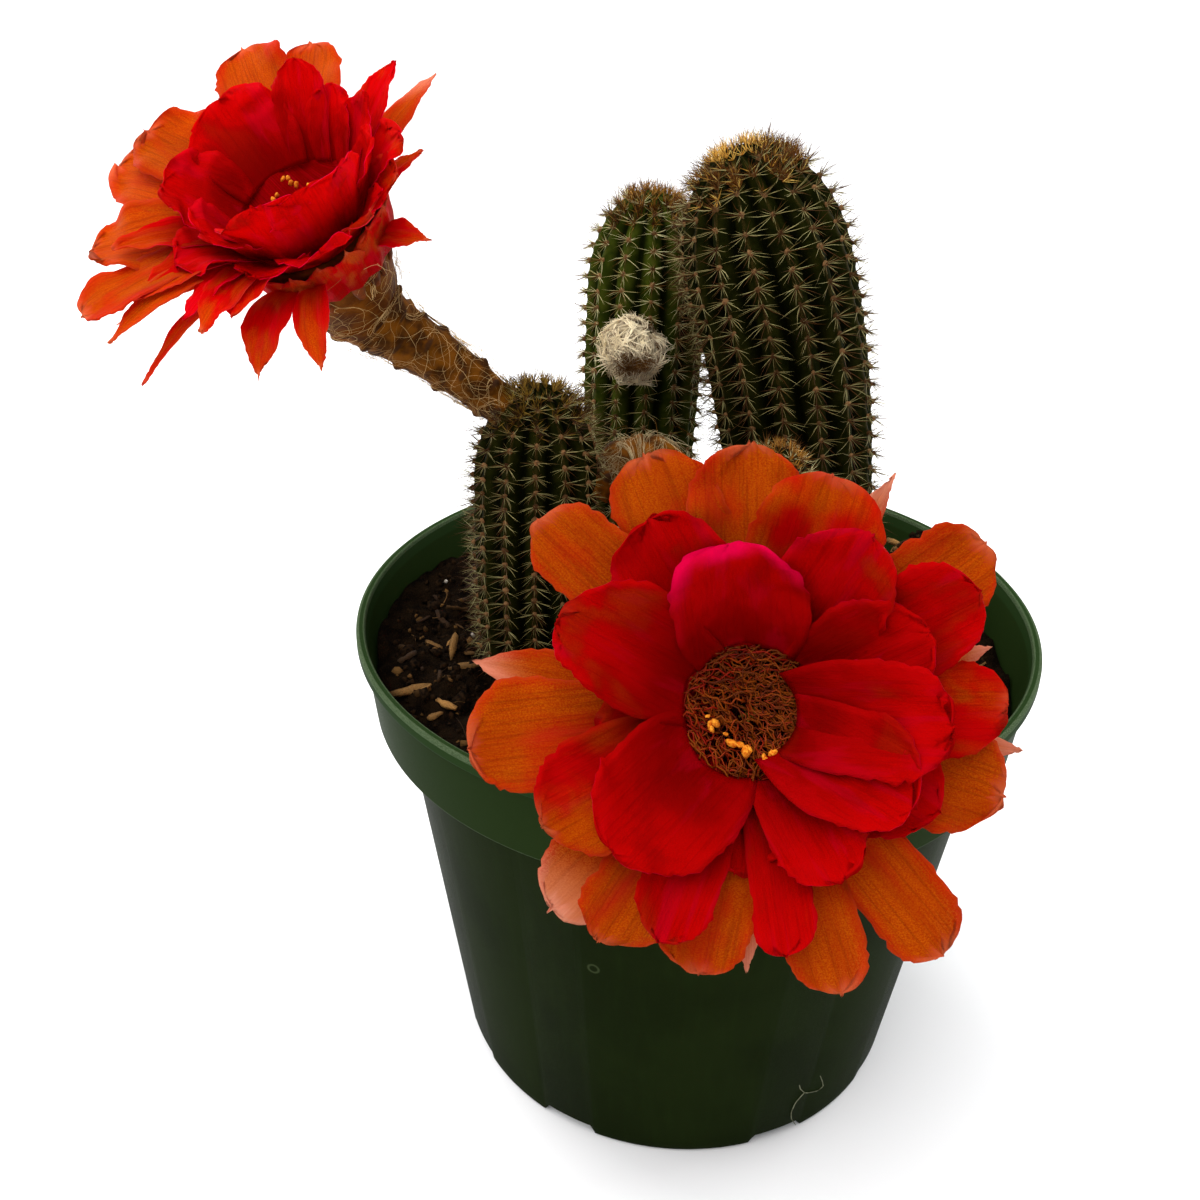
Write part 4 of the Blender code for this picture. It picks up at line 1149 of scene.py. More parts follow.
def tube_radius(u, length):
    """Radius at a share of the tube's length. Past 1 it goes on over the cup of the flower."""
    low, middle, high = TUBE_RADII
    wide = middle + (high - middle) * np.clip(2 * u - 1, 0, 1) ** 1.5
    over_cup = CUP_FLARE * np.maximum(u - 1, 0) * length / FUNNEL
    return np.where(u < 0.5, low + (middle - low) * 2 * u, wide) + over_cup


def on_tube(path, u, turn, lift):
    """Points over a tube and the cup past it, in the same order as the shares, turns and lifts."""
    length = tube_length(path)
    centre, ahead = bezier(path, np.minimum(u.ravel(), 1))
    centre = centre + (np.maximum(u.ravel() - 1, 0) * length)[:, None] * ahead
    first, second = square_to(ahead)
    turn, reach = turn.reshape(-1, 1), (tube_radius(u, length) + lift).reshape(-1, 1)
    return (centre + reach * (np.cos(turn) * first + np.sin(turn) * second)).reshape(*u.shape, 3)


def scale_relief(u, turn):
    """How far the scales of a tube stand up. Each is a drop shape with its point towards the flower."""
    relief = np.zeros_like(u)
    for step in range(2, int(1 / SCALE_STEP) - 1):
        off = (u - step * SCALE_STEP) / SCALE_LENGTH
        aside = (np.degrees(turn) - step * SCALE_TURN + 180) % 360 - 180
        wide = SCALE_WIDTH * np.clip(1.1 - off, 0.15, 1.4)
        drop = np.exp(-(off ** 2) * 2.2) * np.exp(-((aside / wide) ** 2))
        relief = np.maximum(relief, drop)
    return relief


def make_tube(name, finish):
    turns = 2 * np.pi * np.arange(TUBE_COLUMNS) / TUBE_COLUMNS
    u, turn = np.meshgrid(np.linspace(0, 1, TUBE_ROWS), turns, indexing="ij")
    relief = scale_relief(u, turn)
    points = on_tube(TUBES[name], u, turn, SCALE_RISE * relief - 0.12)
    marks = np.stack([u, relief, 0 * u], -1).reshape(-1, 3)
    faces = closed_faces(TUBE_ROWS, TUBE_COLUMNS)
    return add_piece(name, points, faces, finish, name, {"scale": marks})


def make_tube_hairs(name, finish, part, locks, hairs, steps, stride, curl, wild, thickness):
    """Locks of so many hairs each, which start under the scales. Wild ones lift off the tube."""
    rng = np.random.default_rng(len(part))
    path = TUBES[name]
    length = tube_length(path)
    reach = 1 + (FUNNEL - 1.5) / length
    scale = rng.integers(2, int((reach - 0.03) / SCALE_STEP), locks)
    u = in_locks(rng, scale * SCALE_STEP + rng.normal(0, 0.012, locks), hairs, 0.006)
    turn = in_locks(rng, np.radians(scale * SCALE_TURN) + rng.normal(0, 0.3, locks), hairs, 0.05)
    heading = in_locks(rng, rng.normal(0, 1.2, locks), hairs, 0.1)
    turning = in_locks(rng, rng.normal(0, curl, locks), hairs, 0.03)
    rise = np.abs(in_locks(rng, rng.normal(0, wild, locks), hairs, 0.2 * wild))
    lift = np.full(len(u), 0.1)
    track = []
    for step in range(steps):
        track.append((u, turn, lift))
        heading = heading + turning + in_locks(rng, rng.normal(0, 0.3, locks), hairs, 0.12)
        u = np.clip(u + stride * np.cos(heading) / length, 0.02, reach)
        turn = turn + stride * np.sin(heading) / (tube_radius(u, length) + lift)
        lift = lift + rise * math.cos(1.9 * step / steps) * stride
    u, turn, lift = (np.stack(part, 1) for part in zip(*track))
    paths = on_tube(path, u, turn, lift)
    points, faces = thread_mesh(paths, np.linspace(thickness, thickness * 0.45, steps))
    tone = np.clip(in_locks(rng, rng.uniform(0, 1, locks), hairs, 0.15), 0, 1)
    marks = {"tone": np.repeat(tone, steps * 3)}
    return add_piece(f"{name}_{part}", points, faces, finish, marks=marks)


for tube_name, path in TUBES.items():
    print(tube_name, "is", round(tube_length(path)), "mm long")

# %% [markdown]
# The tube is a dull olive brown with a flush of red towards the flower, and its scales are dark brown.
# The hairs over it are brown, golden or cream, and those of a lock have nearly the same tone.

# %% Finish of the tubes
def make_tube_finish():
    made, tree, shader = new_finish("tube_skin", 0.65, Specular_IOR_Level=0.06)
    along, relief, _ = split_mark(tree, "scale")
    olive = mottle(tree, (54, 27, 0), (112, 64, 4), 420.0)
    flushed = mix(tree, between(tree, along, 0.7, 1.0, 0, 0.5), olive, (104, 48, 8))
    scaled = mix(tree, between(tree, relief, 0.45, 0.85, 0, 0.8), flushed, (46, 28, 16))
    cover(tree, shader, scaled, 2200.0, 0.2, 0.7)
    return made


TUBE_SKIN = make_tube_finish()
HAIR_FINISH = {
    "flower_front_tube": make_wool_finish("cream_hair", (110, 72, 24), (222, 206, 160), (150, 108, 54)),
    "flower_left_tube": make_wool_finish("golden_hair", (112, 64, 14), (236, 202, 140), (150, 96, 34)),
}
for tube_name, hair in HAIR_FINISH.items():
    make_tube(tube_name, TUBE_SKIN)
    make_tube_hairs(tube_name, hair, "locks", LOCK_COUNTS[tube_name], **LOCKS)
    make_tube_hairs(tube_name, hair, "stray_hairs", STRAY_COUNT, **STRAYS)

# %% [markdown]
# A flower is petals on a cup. All petals share one outline: a narrow root, a shoulder where they are
# widest, then round to the tip. Real petals are never flat, so each is cupped, its edges wave, its rim is
# a little ragged and its tip ends in a tiny point. Every petal is a closed thin blade, thicker at the
# root than at the rim. A petal's values are its angle in the flower, reach, width and lift in degrees,
# read from the real flower, and for three petals a fifth one: how far the tip rolls over. A whorl's
# values are what its petals share: the radius and height of their roots, how hollow they are, the share
# of the width at the root, ruffling, twist, length of the tip, redness and how far that fades outwards.

# %% Petals
ROOT_LIFT = 62.0
ROLL = 62
NARROW = 7
LEAST_HALF_WIDTH = 0.28
TIP_HALF_WIDTH = 0.06
PETAL_STEPS = 32
LINE_STEPS = 240
PETAL_COLUMNS = 17
CUP_COLUMNS = 96
WHORLS = {
    "under": (8.5, -3.4, 0.15, 0.35, 0.07, 0.25, 0.9, 0.05, 0.75),
    "outer": (8.8, -0.8, 0.3, 0.5, 0.08, 0.22, 0.5, 0.16, 0.12),
    "fading": (8.8, -0.8, 0.3, 0.5, 0.08, 0.22, 0.5, 0.04, 0.36),
    "drooping": (8.5, -3.4, 0.15, 0.3, 0.08, 0.25, 0.9, 0.5, 0.3),
    "sepal": (8.9, -5.4, 0.5, 0.8, 0.04, 0.1, 0.5, 0.72, 0.2),
    "flamed": (8.4, 0.3, 0.45, 0.6, 0.08, 0.2, 0.25, 0.8, 0.38),
    "lower_inner": (8.4, 0.5, 0.45, 0.6, 0.08, 0.2, 0.2, 0.95, 0.08),
    "inner": (8.2, 1.6, 0.5, 0.72, 0.06, 0.12, 0.0, 1.0, 0.04),
    "leaning": (5.7, 2.4, 0.5, 0.7, 0.06, 0.12, 0.0, 1.0, 0.04),
    "bract": (7.6, -8.5, 0.5, 0.6, 0.03, 0.1, 0.6, 0.6, 0.0),
}
FRONT_PETALS = {
    "under": (
        (64, 32, 5, -10), (20, 28.5, 6, -10), (-3, 30.8, 6.2, -8), (-86, 29.5, 5, -12),
        (-131, 32.5, 11, -6), (175, 33, 6.9, -8),
    ),
    "outer": (
        (117, 32, 12.6, -2), (142, 33, 10.5, 1), (95, 30.6, 13.6, 3), (41, 32.2, 11.5, 2),
        (-14, 29.2, 11.5, -3), (-97, 30, 12, -3), (-118, 31, 11.5, 2), (-168, 32.5, 13, 2),
    ),
    "fading": ((-46, 33.8, 9.4, -5), (-67.5, 32.3, 9, 0)),
    "flamed": ((76, 28, 15.5, 12), (6, 28, 10.5, 6), (-146, 26.5, 14, 16)),
    "lower_inner": (
        (124, 24.5, 14, 18), (32, 28.2, 11.6, 15), (-24, 23, 12, 20), (-76, 26.6, 7.2, 15),
        (-108, 27, 9, 18), (-170, 17.5, 14, 24), (-92, 18, 13, 24), (60, 23.2, 13.5, 31, 0.3),
    ),
    "inner": (
        (157, 23.5, 14, 27), (101, 18.4, 15.5, 42, 1.0), (31, 21, 12.5, 32), (-56, 20.4, 11, 32),
        (-129, 21.5, 16.5, 33),
    ),
    "leaning": ((2, 21.3, 13.5, 27), (-26, 20, 13, 28)),
    "folded": ((15, 15.4, 7.5, 44, 0.8),),
}
LEFT_PETALS = {
    "under": (
        (68, 24, 4.2, 2), (147, 23.5, 4, 8), (-128, 25.5, 4, -6),
    ),
    "outer": (
        (110, 24.4, 9.6, 4), (-126, 28.4, 7.5, -4), (-178, 26, 12, 0), (131, 25.2, 9.6, 10),
        (-115, 28, 4.8, -5), (-146, 25.5, 10.5, 3), (168, 24.2, 12, 8),
    ),
    "drooping": (
        (52, 16.4, 3, 2), (3, 16.5, 4.2, -8), (-59, 22.3, 4.6, -20), (-79, 22.5, 5.8, -18),
        (-109, 28, 2.4, -16),
    ),
    "sepal": (
        (-30, 11.2, 5.2, 78), (-50, 10.9, 6.5, 80), (-9, 11, 7, 80), (-70, 11, 6.5, 78),
        (13, 10.8, 7.5, 80), (36, 10.8, 8, 80), (-90, 11, 7.5, 78), (60, 10.8, 8, 80),
    ),
    "flamed": (
        (66, 19.5, 6, 26), (40, 15, 8, 34), (18, 13.8, 9, 30), (-92, 21.5, 5.5, -2),
        (-101, 20.5, 4.6, 0), (-140, 22, 5.4, 10), (-119, 22.5, 6.4, 2), (-84, 18.5, 6.5, 2),
    ),
    "lower_inner": (
        (178, 16, 10, 26), (-8, 13, 9, 40), (-42, 13.6, 10, 38), (-75, 14, 9, 34), (-120, 16, 10, 24),
    ),
    "inner": (
        (148, 15.2, 13, 43), (105, 15.4, 7, 48), (84, 13.4, 7, 52), (62, 13.8, 6.5, 52),
        (32, 12, 8, 60), (-4, 11, 7, 80), (-30, 11.4, 12, 80), (-60, 10.9, 13.5, 84),
        (-112, 11.8, 12, 68), (-155, 13.6, 13, 56),
    ),
}


def petal_outline(s, root, width, length):
    """Share of the full width at s. A narrow petal ends in a point, a broad one in a half circle."""
    narrow = width < NARROW
    shoulder = 0.55 if narrow else max(0.5, 1 - 0.56 * width / length)
    rise = root + (1 - root) * np.sin(np.pi / 2 * np.minimum(s / shoulder, 1)) ** 1.2
    beyond = np.maximum(s - shoulder, 0) / (1 - shoulder)
    fall = np.sqrt(np.maximum(1 - beyond ** (1.5 if narrow else 2.7), 0))
    return rise * (fall ** 1.5 if narrow else fall)


def wander(rng, share, waves):
    """A smooth irregular curve over the shares, about one high, from a few random waves."""
    total = 0
    for wave in waves:
        total = total + np.sin(2 * np.pi * (wave * share + rng.uniform())) * rng.uniform(0.5, 1)
    return total / len(waves) ** 0.5


def petal_blade(rng, spec, whorl, blush):
    """Points of one petal in its flower's frame, row after row, with its marks. Blush makes it redder."""
    angle, reach, width, lift, *roll = spec
    rolled = roll[0] if roll else 0.0
    root_radius, root_height, cupping, root, ruffling, twist, pointed, redness, fade = WHORLS[whorl]
    share = (np.arange(LINE_STEPS) + 0.5) / LINE_STEPS
    bend = np.radians(lift + (ROOT_LIFT - lift) * (1 - share) ** 2)
    step = (reach - root_radius) / np.cos(bend).sum()
    length = step * LINE_STEPS
    bend = bend + np.radians(4) * share * wander(rng, share, (0.7, 1.6))
    bend = bend - rolled * np.radians(ROLL) * smooth(0.78, 1.0, share)
    s = 1 - (1 - np.linspace(0, 1, PETAL_STEPS + 1)) ** 1.8
    ends = np.linspace(0, 1, LINE_STEPS + 1)
    radius = np.interp(s, ends, root_radius + step * np.concatenate([[0], np.cos(bend).cumsum()]))
    height = np.interp(s, ends, root_height + step * np.concatenate([[0], np.sin(bend).cumsum()]))
    bend = np.interp(s, share, bend)
    point = pointed * rng.uniform(0.3, 1.1)
    radius = np.append(radius, radius[-1] + point * np.cos(bend[-1]))
    height = np.append(height, height[-1] + point * np.sin(bend[-1]))
    bend, s = np.append(bend, bend[-1]), np.append(s, 1.0)
    half = np.maximum(width / 2 * petal_outline(s, root, width, length), LEAST_HALF_WIDTH)
    half[-1] = TIP_HALF_WIDTH

    t = np.linspace(-1, 1, PETAL_COLUMNS)[None, :]
    s, half, bend = s[:, None], half[:, None], bend[:, None]
    free = smooth(0.2, 0.9, s)
    rim = 1 + 0.05 * free * np.where(t < 0, wander(rng, s, (3, 7, 13, 24)), wander(rng, s, (4, 8, 15, 22)))
    rim = rim + 0.1 * free * np.where(t < 0, wander(rng, s, (0.5, 1.3)), wander(rng, s, (0.6, 1.2)))
    sway = 0.05 * width * free * wander(rng, s, (0.6, 1.1))
    fray = 0.05 * free * np.where(t < 0, rng.normal(size=s.shape), rng.normal(size=s.shape))
    aside = t * (half * rim + fray) + sway
    side_wave = np.where(t < 0, wander(rng, s, (1.2, 2.4, 4.5)), wander(rng, s, (1.0, 2.8, 4.0)))
    ruffle = ruffling * width * free * np.abs(t) ** 1.8 * side_wave
    pleat = 0.16 * free * wander(rng, t + 0.15 * s, (1.1, 2.3)) * np.minimum(half / 3, 1)
    groove = -0.22 * np.exp(-((t / 0.2) ** 2)) * (1 - 0.7 * s) * np.minimum(half / 3, 1)
    tilt = twist * free * wander(rng, s, (0.35, 0.8)) * t * half
    raised = cupping * half ** 2 / width * t ** 2 + ruffle + pleat + groove + tilt
    notch = 0.6 * smooth(0.75, 0.98, s) * wander(rng, t, (0.6, 1.7, 4.1)) * np.minimum(half / 2, 1)
    notch = notch + 0.1 * smooth(0.9, 1.0, s) * rng.normal(size=t.shape)
    wrap = 0.5 * aside ** 2 / radius[:, None] * (1 - s)
    thick = (0.5 - 0.34 * s) * (1 - 0.75 * np.abs(t) ** 3) + 0.05

    turn = math.radians(angle)
    outward = np.array((math.cos(turn), math.sin(turn), 0))
    side = np.array((-math.sin(turn), math.cos(turn), 0))
    axis = np.array((0, 0, 1.0))
    up = axis * np.cos(bend)[..., None] - outward * np.sin(bend)[..., None]
    ahead = axis * np.sin(bend)[..., None] + outward * np.cos(bend)[..., None]
    middle = (outward * radius[:, None] + axis * height[:, None])[:, None, :] - wrap[..., None] * outward
    sheet = middle + aside[..., None] * side + raised[..., None] * up + notch[..., None] * ahead
    top, under = sheet + thick[..., None] / 2 * up, sheet - thick[..., None] / 2 * up
    points = np.concatenate([top, under[:, ::-1]], axis=1)

    seed = rng.uniform()
    edge = np.minimum(half * (1 - np.abs(t)), (1 - s) * length)
    petal = np.stack([aside * 2 / width, s + 0 * t, seed + 0 * s * t], -1)
    red = redness + blush + rng.uniform(-0.1, 0.1) - fade * smooth(0.45, 1.0, s + 0.12 * t)
    near_edge = smooth(2.2, 0.5, edge + 0.4 * wander(rng, s + 0.3 * t, (1, 2.3)))
    # Painted sheen: where a tip rolls over, a band near its rim is marked to turn magenta.
    rolled_sheen = rolled * smooth(0.6, 0.86, s) * near_edge * smooth(-0.4, 0.6, t + 3 * (rolled - 0.5))
    front = np.stack([edge, rolled_sheen, red], -1)
    back = np.stack([edge, rolled_sheen - 1, red], -1)
    petal = np.concatenate([petal, petal[:, ::-1]], axis=1)
    blade = np.concatenate([front, back[:, ::-1]], axis=1)
    return points.reshape(-1, 3), petal.reshape(-1, 3), blade.reshape(-1, 3)


def in_flower(flower, points):
    """Puts points in place from a flower's own frame: its right, its up and its way out."""
    centre, facing = FLOWERS[flower]
    right = unit(np.cross((0, 0, 1.0), facing))
    return centre + points @ np.stack([right, np.cross(facing, right), facing])


def make_cup(flower, part, cup, finish):
    """The wall that a flower's petals stand on. Its marks suit the finish of a petal and of a tube."""
    around = turned(np.array(cup), CUP_COLUMNS)
    x, y, height = around.T
    marks = {
        "petal": np.stack([x / 9, height / 40 + 0.1, y / 9], -1),
        "blade": np.broadcast_to((4.0, 0.0, 1.0), around.shape),
        "scale": np.broadcast_to((0.9, 0.0, 0.0), around.shape),
    }
    faces = closed_faces(len(cup), CUP_COLUMNS, flip=True)
    return add_piece(f"{flower}_{part}", in_flower(flower, around), faces, finish, marks=marks)


def make_petals(flower, part, petals, whorls, finish, seed, blush=0.0):
    """All the petals of these whorls as one piece. It stands for the solid of its name, if there is one."""
    rng = np.random.default_rng(seed)
    columns, rows = 2 * PETAL_COLUMNS, PETAL_STEPS + 2
    points, faces, petal, blade, start = [], [], [], [], 0
    for whorl in whorls:
        for spec in petals.get(whorl, ()):
            made = petal_blade(rng, spec, "inner" if whorl == "folded" else whorl, blush)
            for store, value in zip((points, petal, blade), made):
                store.append(value)
            faces += closed_faces(rows, columns, flip=True, start=start)
            start += rows * columns
    points = in_flower(flower, np.concatenate(points))
    marks = {"petal": np.concatenate(petal), "blade": np.concatenate(blade)}
    name = f"{flower}_{part}"
    return add_piece(name, points, faces, finish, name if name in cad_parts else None, marks)


for petals in (FRONT_PETALS, LEFT_PETALS):
    print("petals:", {whorl: len(specs) for whorl, specs in petals.items()})

# %% [markdown]
# Each petal has long streaks, broad and fine, that follow it from root to tip as its veins do. The outer
# petals are orange with a red edge and a thin pale rim, and some of them fade to a pale pink; towards the
# root they are painted redder and darker as the shade where they overlap. The inner ones are a deep red,
# painted darker towards the throat as shade, with painted sheen: lighter patches, a lighter rim and a
# magenta band where a tip rolls over. Light shines through petals, so nearly half of the finish is a
# translucent shader. The left flower's colours are scaled up as painted light, so it looks more brightly
# lit than the front one.

# %% Finish of the petals
STREAK_SIZES = {"Broad": (2.2, 1.4, 5.0), "Fine": (20.0, 2.6, 5.0), "Zones": (1.0, 2.0, 3.0)}
GLOW = 0.45


def make_streaks():
    """Long streaks of a petal in three sizes, from its own coordinates."""
    outputs = [(name, "Float") for name in STREAK_SIZES]
    tree, given, result = new_group("streaks", [("Petal", "Vector", (0, 0, 0))], outputs)
    across, along, seed = node(tree, "SeparateXYZ", {0: given["Petal"]}).outputs
    shift = sum_of(tree, "MULTIPLY", seed, 90.0)
    for name, (wide, long, detail) in STREAK_SIZES.items():
        x = sum_of(tree, "MULTIPLY_ADD", across, wide, shift)
        y = sum_of(tree, "MULTIPLY_ADD", along, long, seed)
        place = node(tree, "CombineXYZ", {0: x, 1: y, 2: shift}).outputs[0]
        inputs = {"Vector": place, "Scale": 1.0, "Detail": detail, "Distortion": 0.5}
        streak = node(tree, "TexNoise", inputs).outputs[0]
        tree.links.new(between(tree, streak, 0.3, 0.7), result[name])
    return tree


STREAKS = make_streaks()


def make_petal_finish(name, shine, painted_light_scale=1.0):
    """One finish for all petals. The marks of a petal say how red it is and where its edge lies."""
    made, tree, shader = new_finish(name, 0.5, Specular_IOR_Level=shine)
    petal = node(tree, "Attribute", attribute_name="petal").outputs["Vector"]
    along = node(tree, "SeparateXYZ", {0: petal}).outputs[1]
    edge, side, red = split_mark(tree, "blade")
    back = sum_of(tree, "LESS_THAN", side, -0.001)
    rolled_sheen = sum_of(tree, "ADD", side, back)
    streaks = filled_group(tree, STREAKS, {"Petal": petal})

    blotch = node(tree, "TexNoise", {"Scale": 300.0, "Detail": 7.0, "Roughness": 0.7}).outputs[0]
    orange = mix(tree, between(tree, blotch, 0.32, 0.66), (214, 107, 2), (184, 58, 0))
    washed = mix(tree, sum_of(tree, "MULTIPLY", streaks["Broad"], 0.45), orange, (174, 47, 0))
    veined = mix(tree, between(tree, streaks["Fine"], 0.5, 0.95, 0, 0.3), washed, (126, 30, 0))
    # Painted shade: the orange turns redder and darker towards the root, where the petals overlap and shade
    # each other.
    shaded_root = mix(tree, between(tree, along, 0.55, 0.1, 0, 0.7), veined, (168, 30, 0))
    rim_noise = sum_of(tree, "MULTIPLY_ADD", blotch, 3.0, -1.2)
    near_rim = sum_of(tree, "SUBTRACT", edge, rim_noise)
    warm = mix(tree, between(tree, near_rim, 1.4, 0.0, 0, 0.45), shaded_root, (208, 32, 6))
    rimmed = mix(tree, between(tree, near_rim, 0.0, -0.5, 0, 0.3), warm, (236, 96, 60))
    edge_fade = between(tree, edge, 1.8, 0.1, 0, 0.6)
    tip_fade = between(tree, along, 0.75, 1.0, 0, 0.4)
    faded = sum_of(tree, "ADD", edge_fade, tip_fade)
    pink = mix(tree, faded, (216, 128, 62), (238, 172, 142))
    pale = mix(tree, sum_of(tree, "MULTIPLY", streaks["Fine"], 0.3), pink, (204, 100, 52))
    pale_shift = sum_of(tree, "MULTIPLY_ADD", blotch, 0.5, -0.25)
    pale_tip = sum_of(tree, "MULTIPLY_ADD", blotch, -0.16, 1.02)
    tipped = mix(tree, between(tree, along, pale_tip, 1.03, 0, 0.5), rimmed, (236, 146, 96))
    paleness = between(tree, sum_of(tree, "ADD", red, pale_shift), -0.2, -0.75, 0, 0.85)
    blushed = mix(tree, paleness, tipped, pale)
    orange_side = mix(tree, sum_of(tree, "MULTIPLY", back, 0.15), blushed, (226, 104, 66))

    # Painted shade: the deep red is darker towards the root, where the throat lies in shade.
    deep = mix(tree, between(tree, along, 0.15, 0.85), (164, 0, 0), (208, 1, 0))
    shaded = mix(tree, between(tree, blotch, 0.35, 0.7, 0, 0.5), deep, (156, 0, 0))
    lined = mix(tree, between(tree, streaks["Fine"], 0.55, 1.0, 0, 0.22), shaded, (112, 0, 0))
    flamed = mix(tree, between(tree, streaks["Broad"], 0.62, 0.95, 0, 0.45), lined, (204, 0, 36))
    # Painted sheen: lighter, pinker patches over the broad zones of the red.
    light_zones = between(tree, streaks["Zones"], 0.5, 1.0)
    sheen = sum_of(tree, "MULTIPLY", light_zones, between(tree, blotch, 0.35, 0.65))
    sheen_painted = mix(tree, sum_of(tree, "MULTIPLY", sheen, 0.7), flamed, (214, 3, 12))
    dim = mix(tree, between(tree, streaks["Zones"], 0.45, 0.0, 0, 0.4), sheen_painted, (134, 0, 0))
    # Painted highlight: the red turns lighter along the rim.
    bright = mix(tree, between(tree, near_rim, 0.8, -0.2, 0, 0.2), dim, (222, 6, 10))
    # Painted sheen: magenta over the marked band of the rolled tips.
    sheen_on_rolls = mix(tree, sum_of(tree, "MULTIPLY", rolled_sheen, 0.85), bright, (244, 0, 80))

    patchy = sum_of(tree, "MULTIPLY_ADD", streaks["Zones"], 0.6, -0.3)
    redness = between(tree, sum_of(tree, "ADD", red, patchy), 0.1, 0.8)
    mixed = mix(tree, redness, orange_side, sheen_on_rolls)
    # Painted light: the colour is scaled up for a flower that should look more brightly lit.
    colour = node(tree, "VectorMath", {0: mixed, "Scale": painted_light_scale}, operation="SCALE").outputs[0]
    tree.links.new(colour, shader.inputs["Base Color"])
    broad_relief = sum_of(tree, "MULTIPLY", streaks["Broad"], 0.4)
    relief = sum_of(tree, "MULTIPLY_ADD", streaks["Fine"], 0.35, broad_relief)
    bump = node(tree, "Bump", {"Height": relief, "Distance": 0.2 * MM, "Strength": 0.5}).outputs[0]
    cells = node(tree, "TexVoronoi", {"Scale": 4200.0}).outputs["Distance"]
    skin = node(tree, "Bump", {"Height": cells, "Distance": 0.07 * MM, "Strength": 0.5, "Normal": bump})
    tree.links.new(skin.outputs[0], shader.inputs["Normal"])

    let_light_through(tree, shader, GLOW, {"Color": colour, "Normal": bump})
    return made


OUTER_WHORLS = ("under", "outer", "fading", "drooping", "sepal")
INNER_WHORLS = ("flamed", "lower_inner", "inner", "leaning", "folded")
OUTER_CUP = [(0.5, -12.6), (5.4, -12.6), (8.2, 0), (9.3, 0), (6.5, -13.6), (0.5, -13.6)]
INNER_CUP = [(0.5, -11.2), (4.0, -11.2), (8.0, 1.8), (8.9, 1.8), (8.3, 0.0), (5.1, -12.2), (0.5, -12.2)]
BRACTS = [(SCALE_TURN * i, 8.8 + 0.2 * (i % 3), 1.5 + 0.3 * (i % 2), 80 - 2 * (i % 3)) for i in range(14)]
BRACT = make_grained_finish("bract", (62, 26, 6), (112, 50, 12), 500.0, 0.6)
FRONT_FINISHES = (make_petal_finish("front_outer", 0.03), make_petal_finish("front_inner", 0.02))
# The left flower's finishes scale their colours up as painted light, so it looks more brightly lit.
LEFT_FINISHES = (make_petal_finish("left_outer", 0.03, 1.25), make_petal_finish("left_inner", 0.02, 1.36))
for flower, petals, finishes, seed, blush in (
    ("flower_front", FRONT_PETALS, FRONT_FINISHES, 40, 0.0),
    ("flower_left", LEFT_PETALS, LEFT_FINISHES, 50, 0.05),
):
    make_petals(flower, "outer_petals", petals, OUTER_WHORLS, finishes[0], seed, blush)
    make_petals(flower, "inner_petals", petals, INNER_WHORLS, finishes[1], seed + 1, blush)
    make_petals(flower, "bracts", {"bract": BRACTS}, ("bract",), BRACT, seed + 2)
    make_cup(flower, "outer_cup", OUTER_CUP, TUBE_SKIN)
    make_cup(flower, "inner_cup", INNER_CUP, finishes[1])

# %% [markdown]
# The throat is packed with stamens. Their filaments stand on a pad inside the inner cup and bend over
# each other in waves, mostly one way, so from the front they look like a round mat of olive-brown threads
# with dark red gaps. A mat's values are its radius and its height in the flower. Few stamens carry open
# anthers: the small yellow ones lie in an arc at one side of the mat.

# %% Stamens
FILAMENTS = {"flower_front": 520, "flower_left": 220}
FILAMENT_STEPS = 11
MAT = {"flower_front": (7.9, 0.3), "flower_left": (6.2, -2.0)}
MAT_LEAN = 2.7
MAT_DRIFT = 4.4
PAD_COLUMNS = 64
PAD_RADIUS = 6.2
LOBES = 7
PISTIL_SIDES = 8
PAD = [(0.6, -4.0), (6.2, -4.0), (4.3, -11.0), (0.6, -11.0)]
ANTHERS = {
    "flower_front": (
        (-5.0, -0.9, 2.6), (-4.6, -1.6, 2.5), (-4.0, -1.6, 2.4), (-4.5, -2.3, 2.6), (-2.7, -2.8, 2.4),
        (-1.9, -3.8, 2.5), (-1.0, -3.9, 2.5), (-0.2, -4.6, 2.6), (0.1, -4.3, 2.6), (2.3, -5.3, 2.8),
        (2.9, -5.1, 2.8), (3.1, -4.4, 2.8), (1.9, -4.9, 2.8), (2.7, -4.5, 2.9),
    ),
    "flower_left": (
        (-4.0, 3.4, 2.8), (-3.1, 3.4, 3.0), (-2.5, 2.9, 2.8), (-1.4, 2.6, 3.0), (0.7, 2.7, 2.9),
        (0.6, 1.4, 3.0), (1.1, 1.7, 2.8), (0.1, 1.5, 2.9), (-3.3, 0.7, 2.9), (-3.6, 0.1, 2.8),
    ),
}


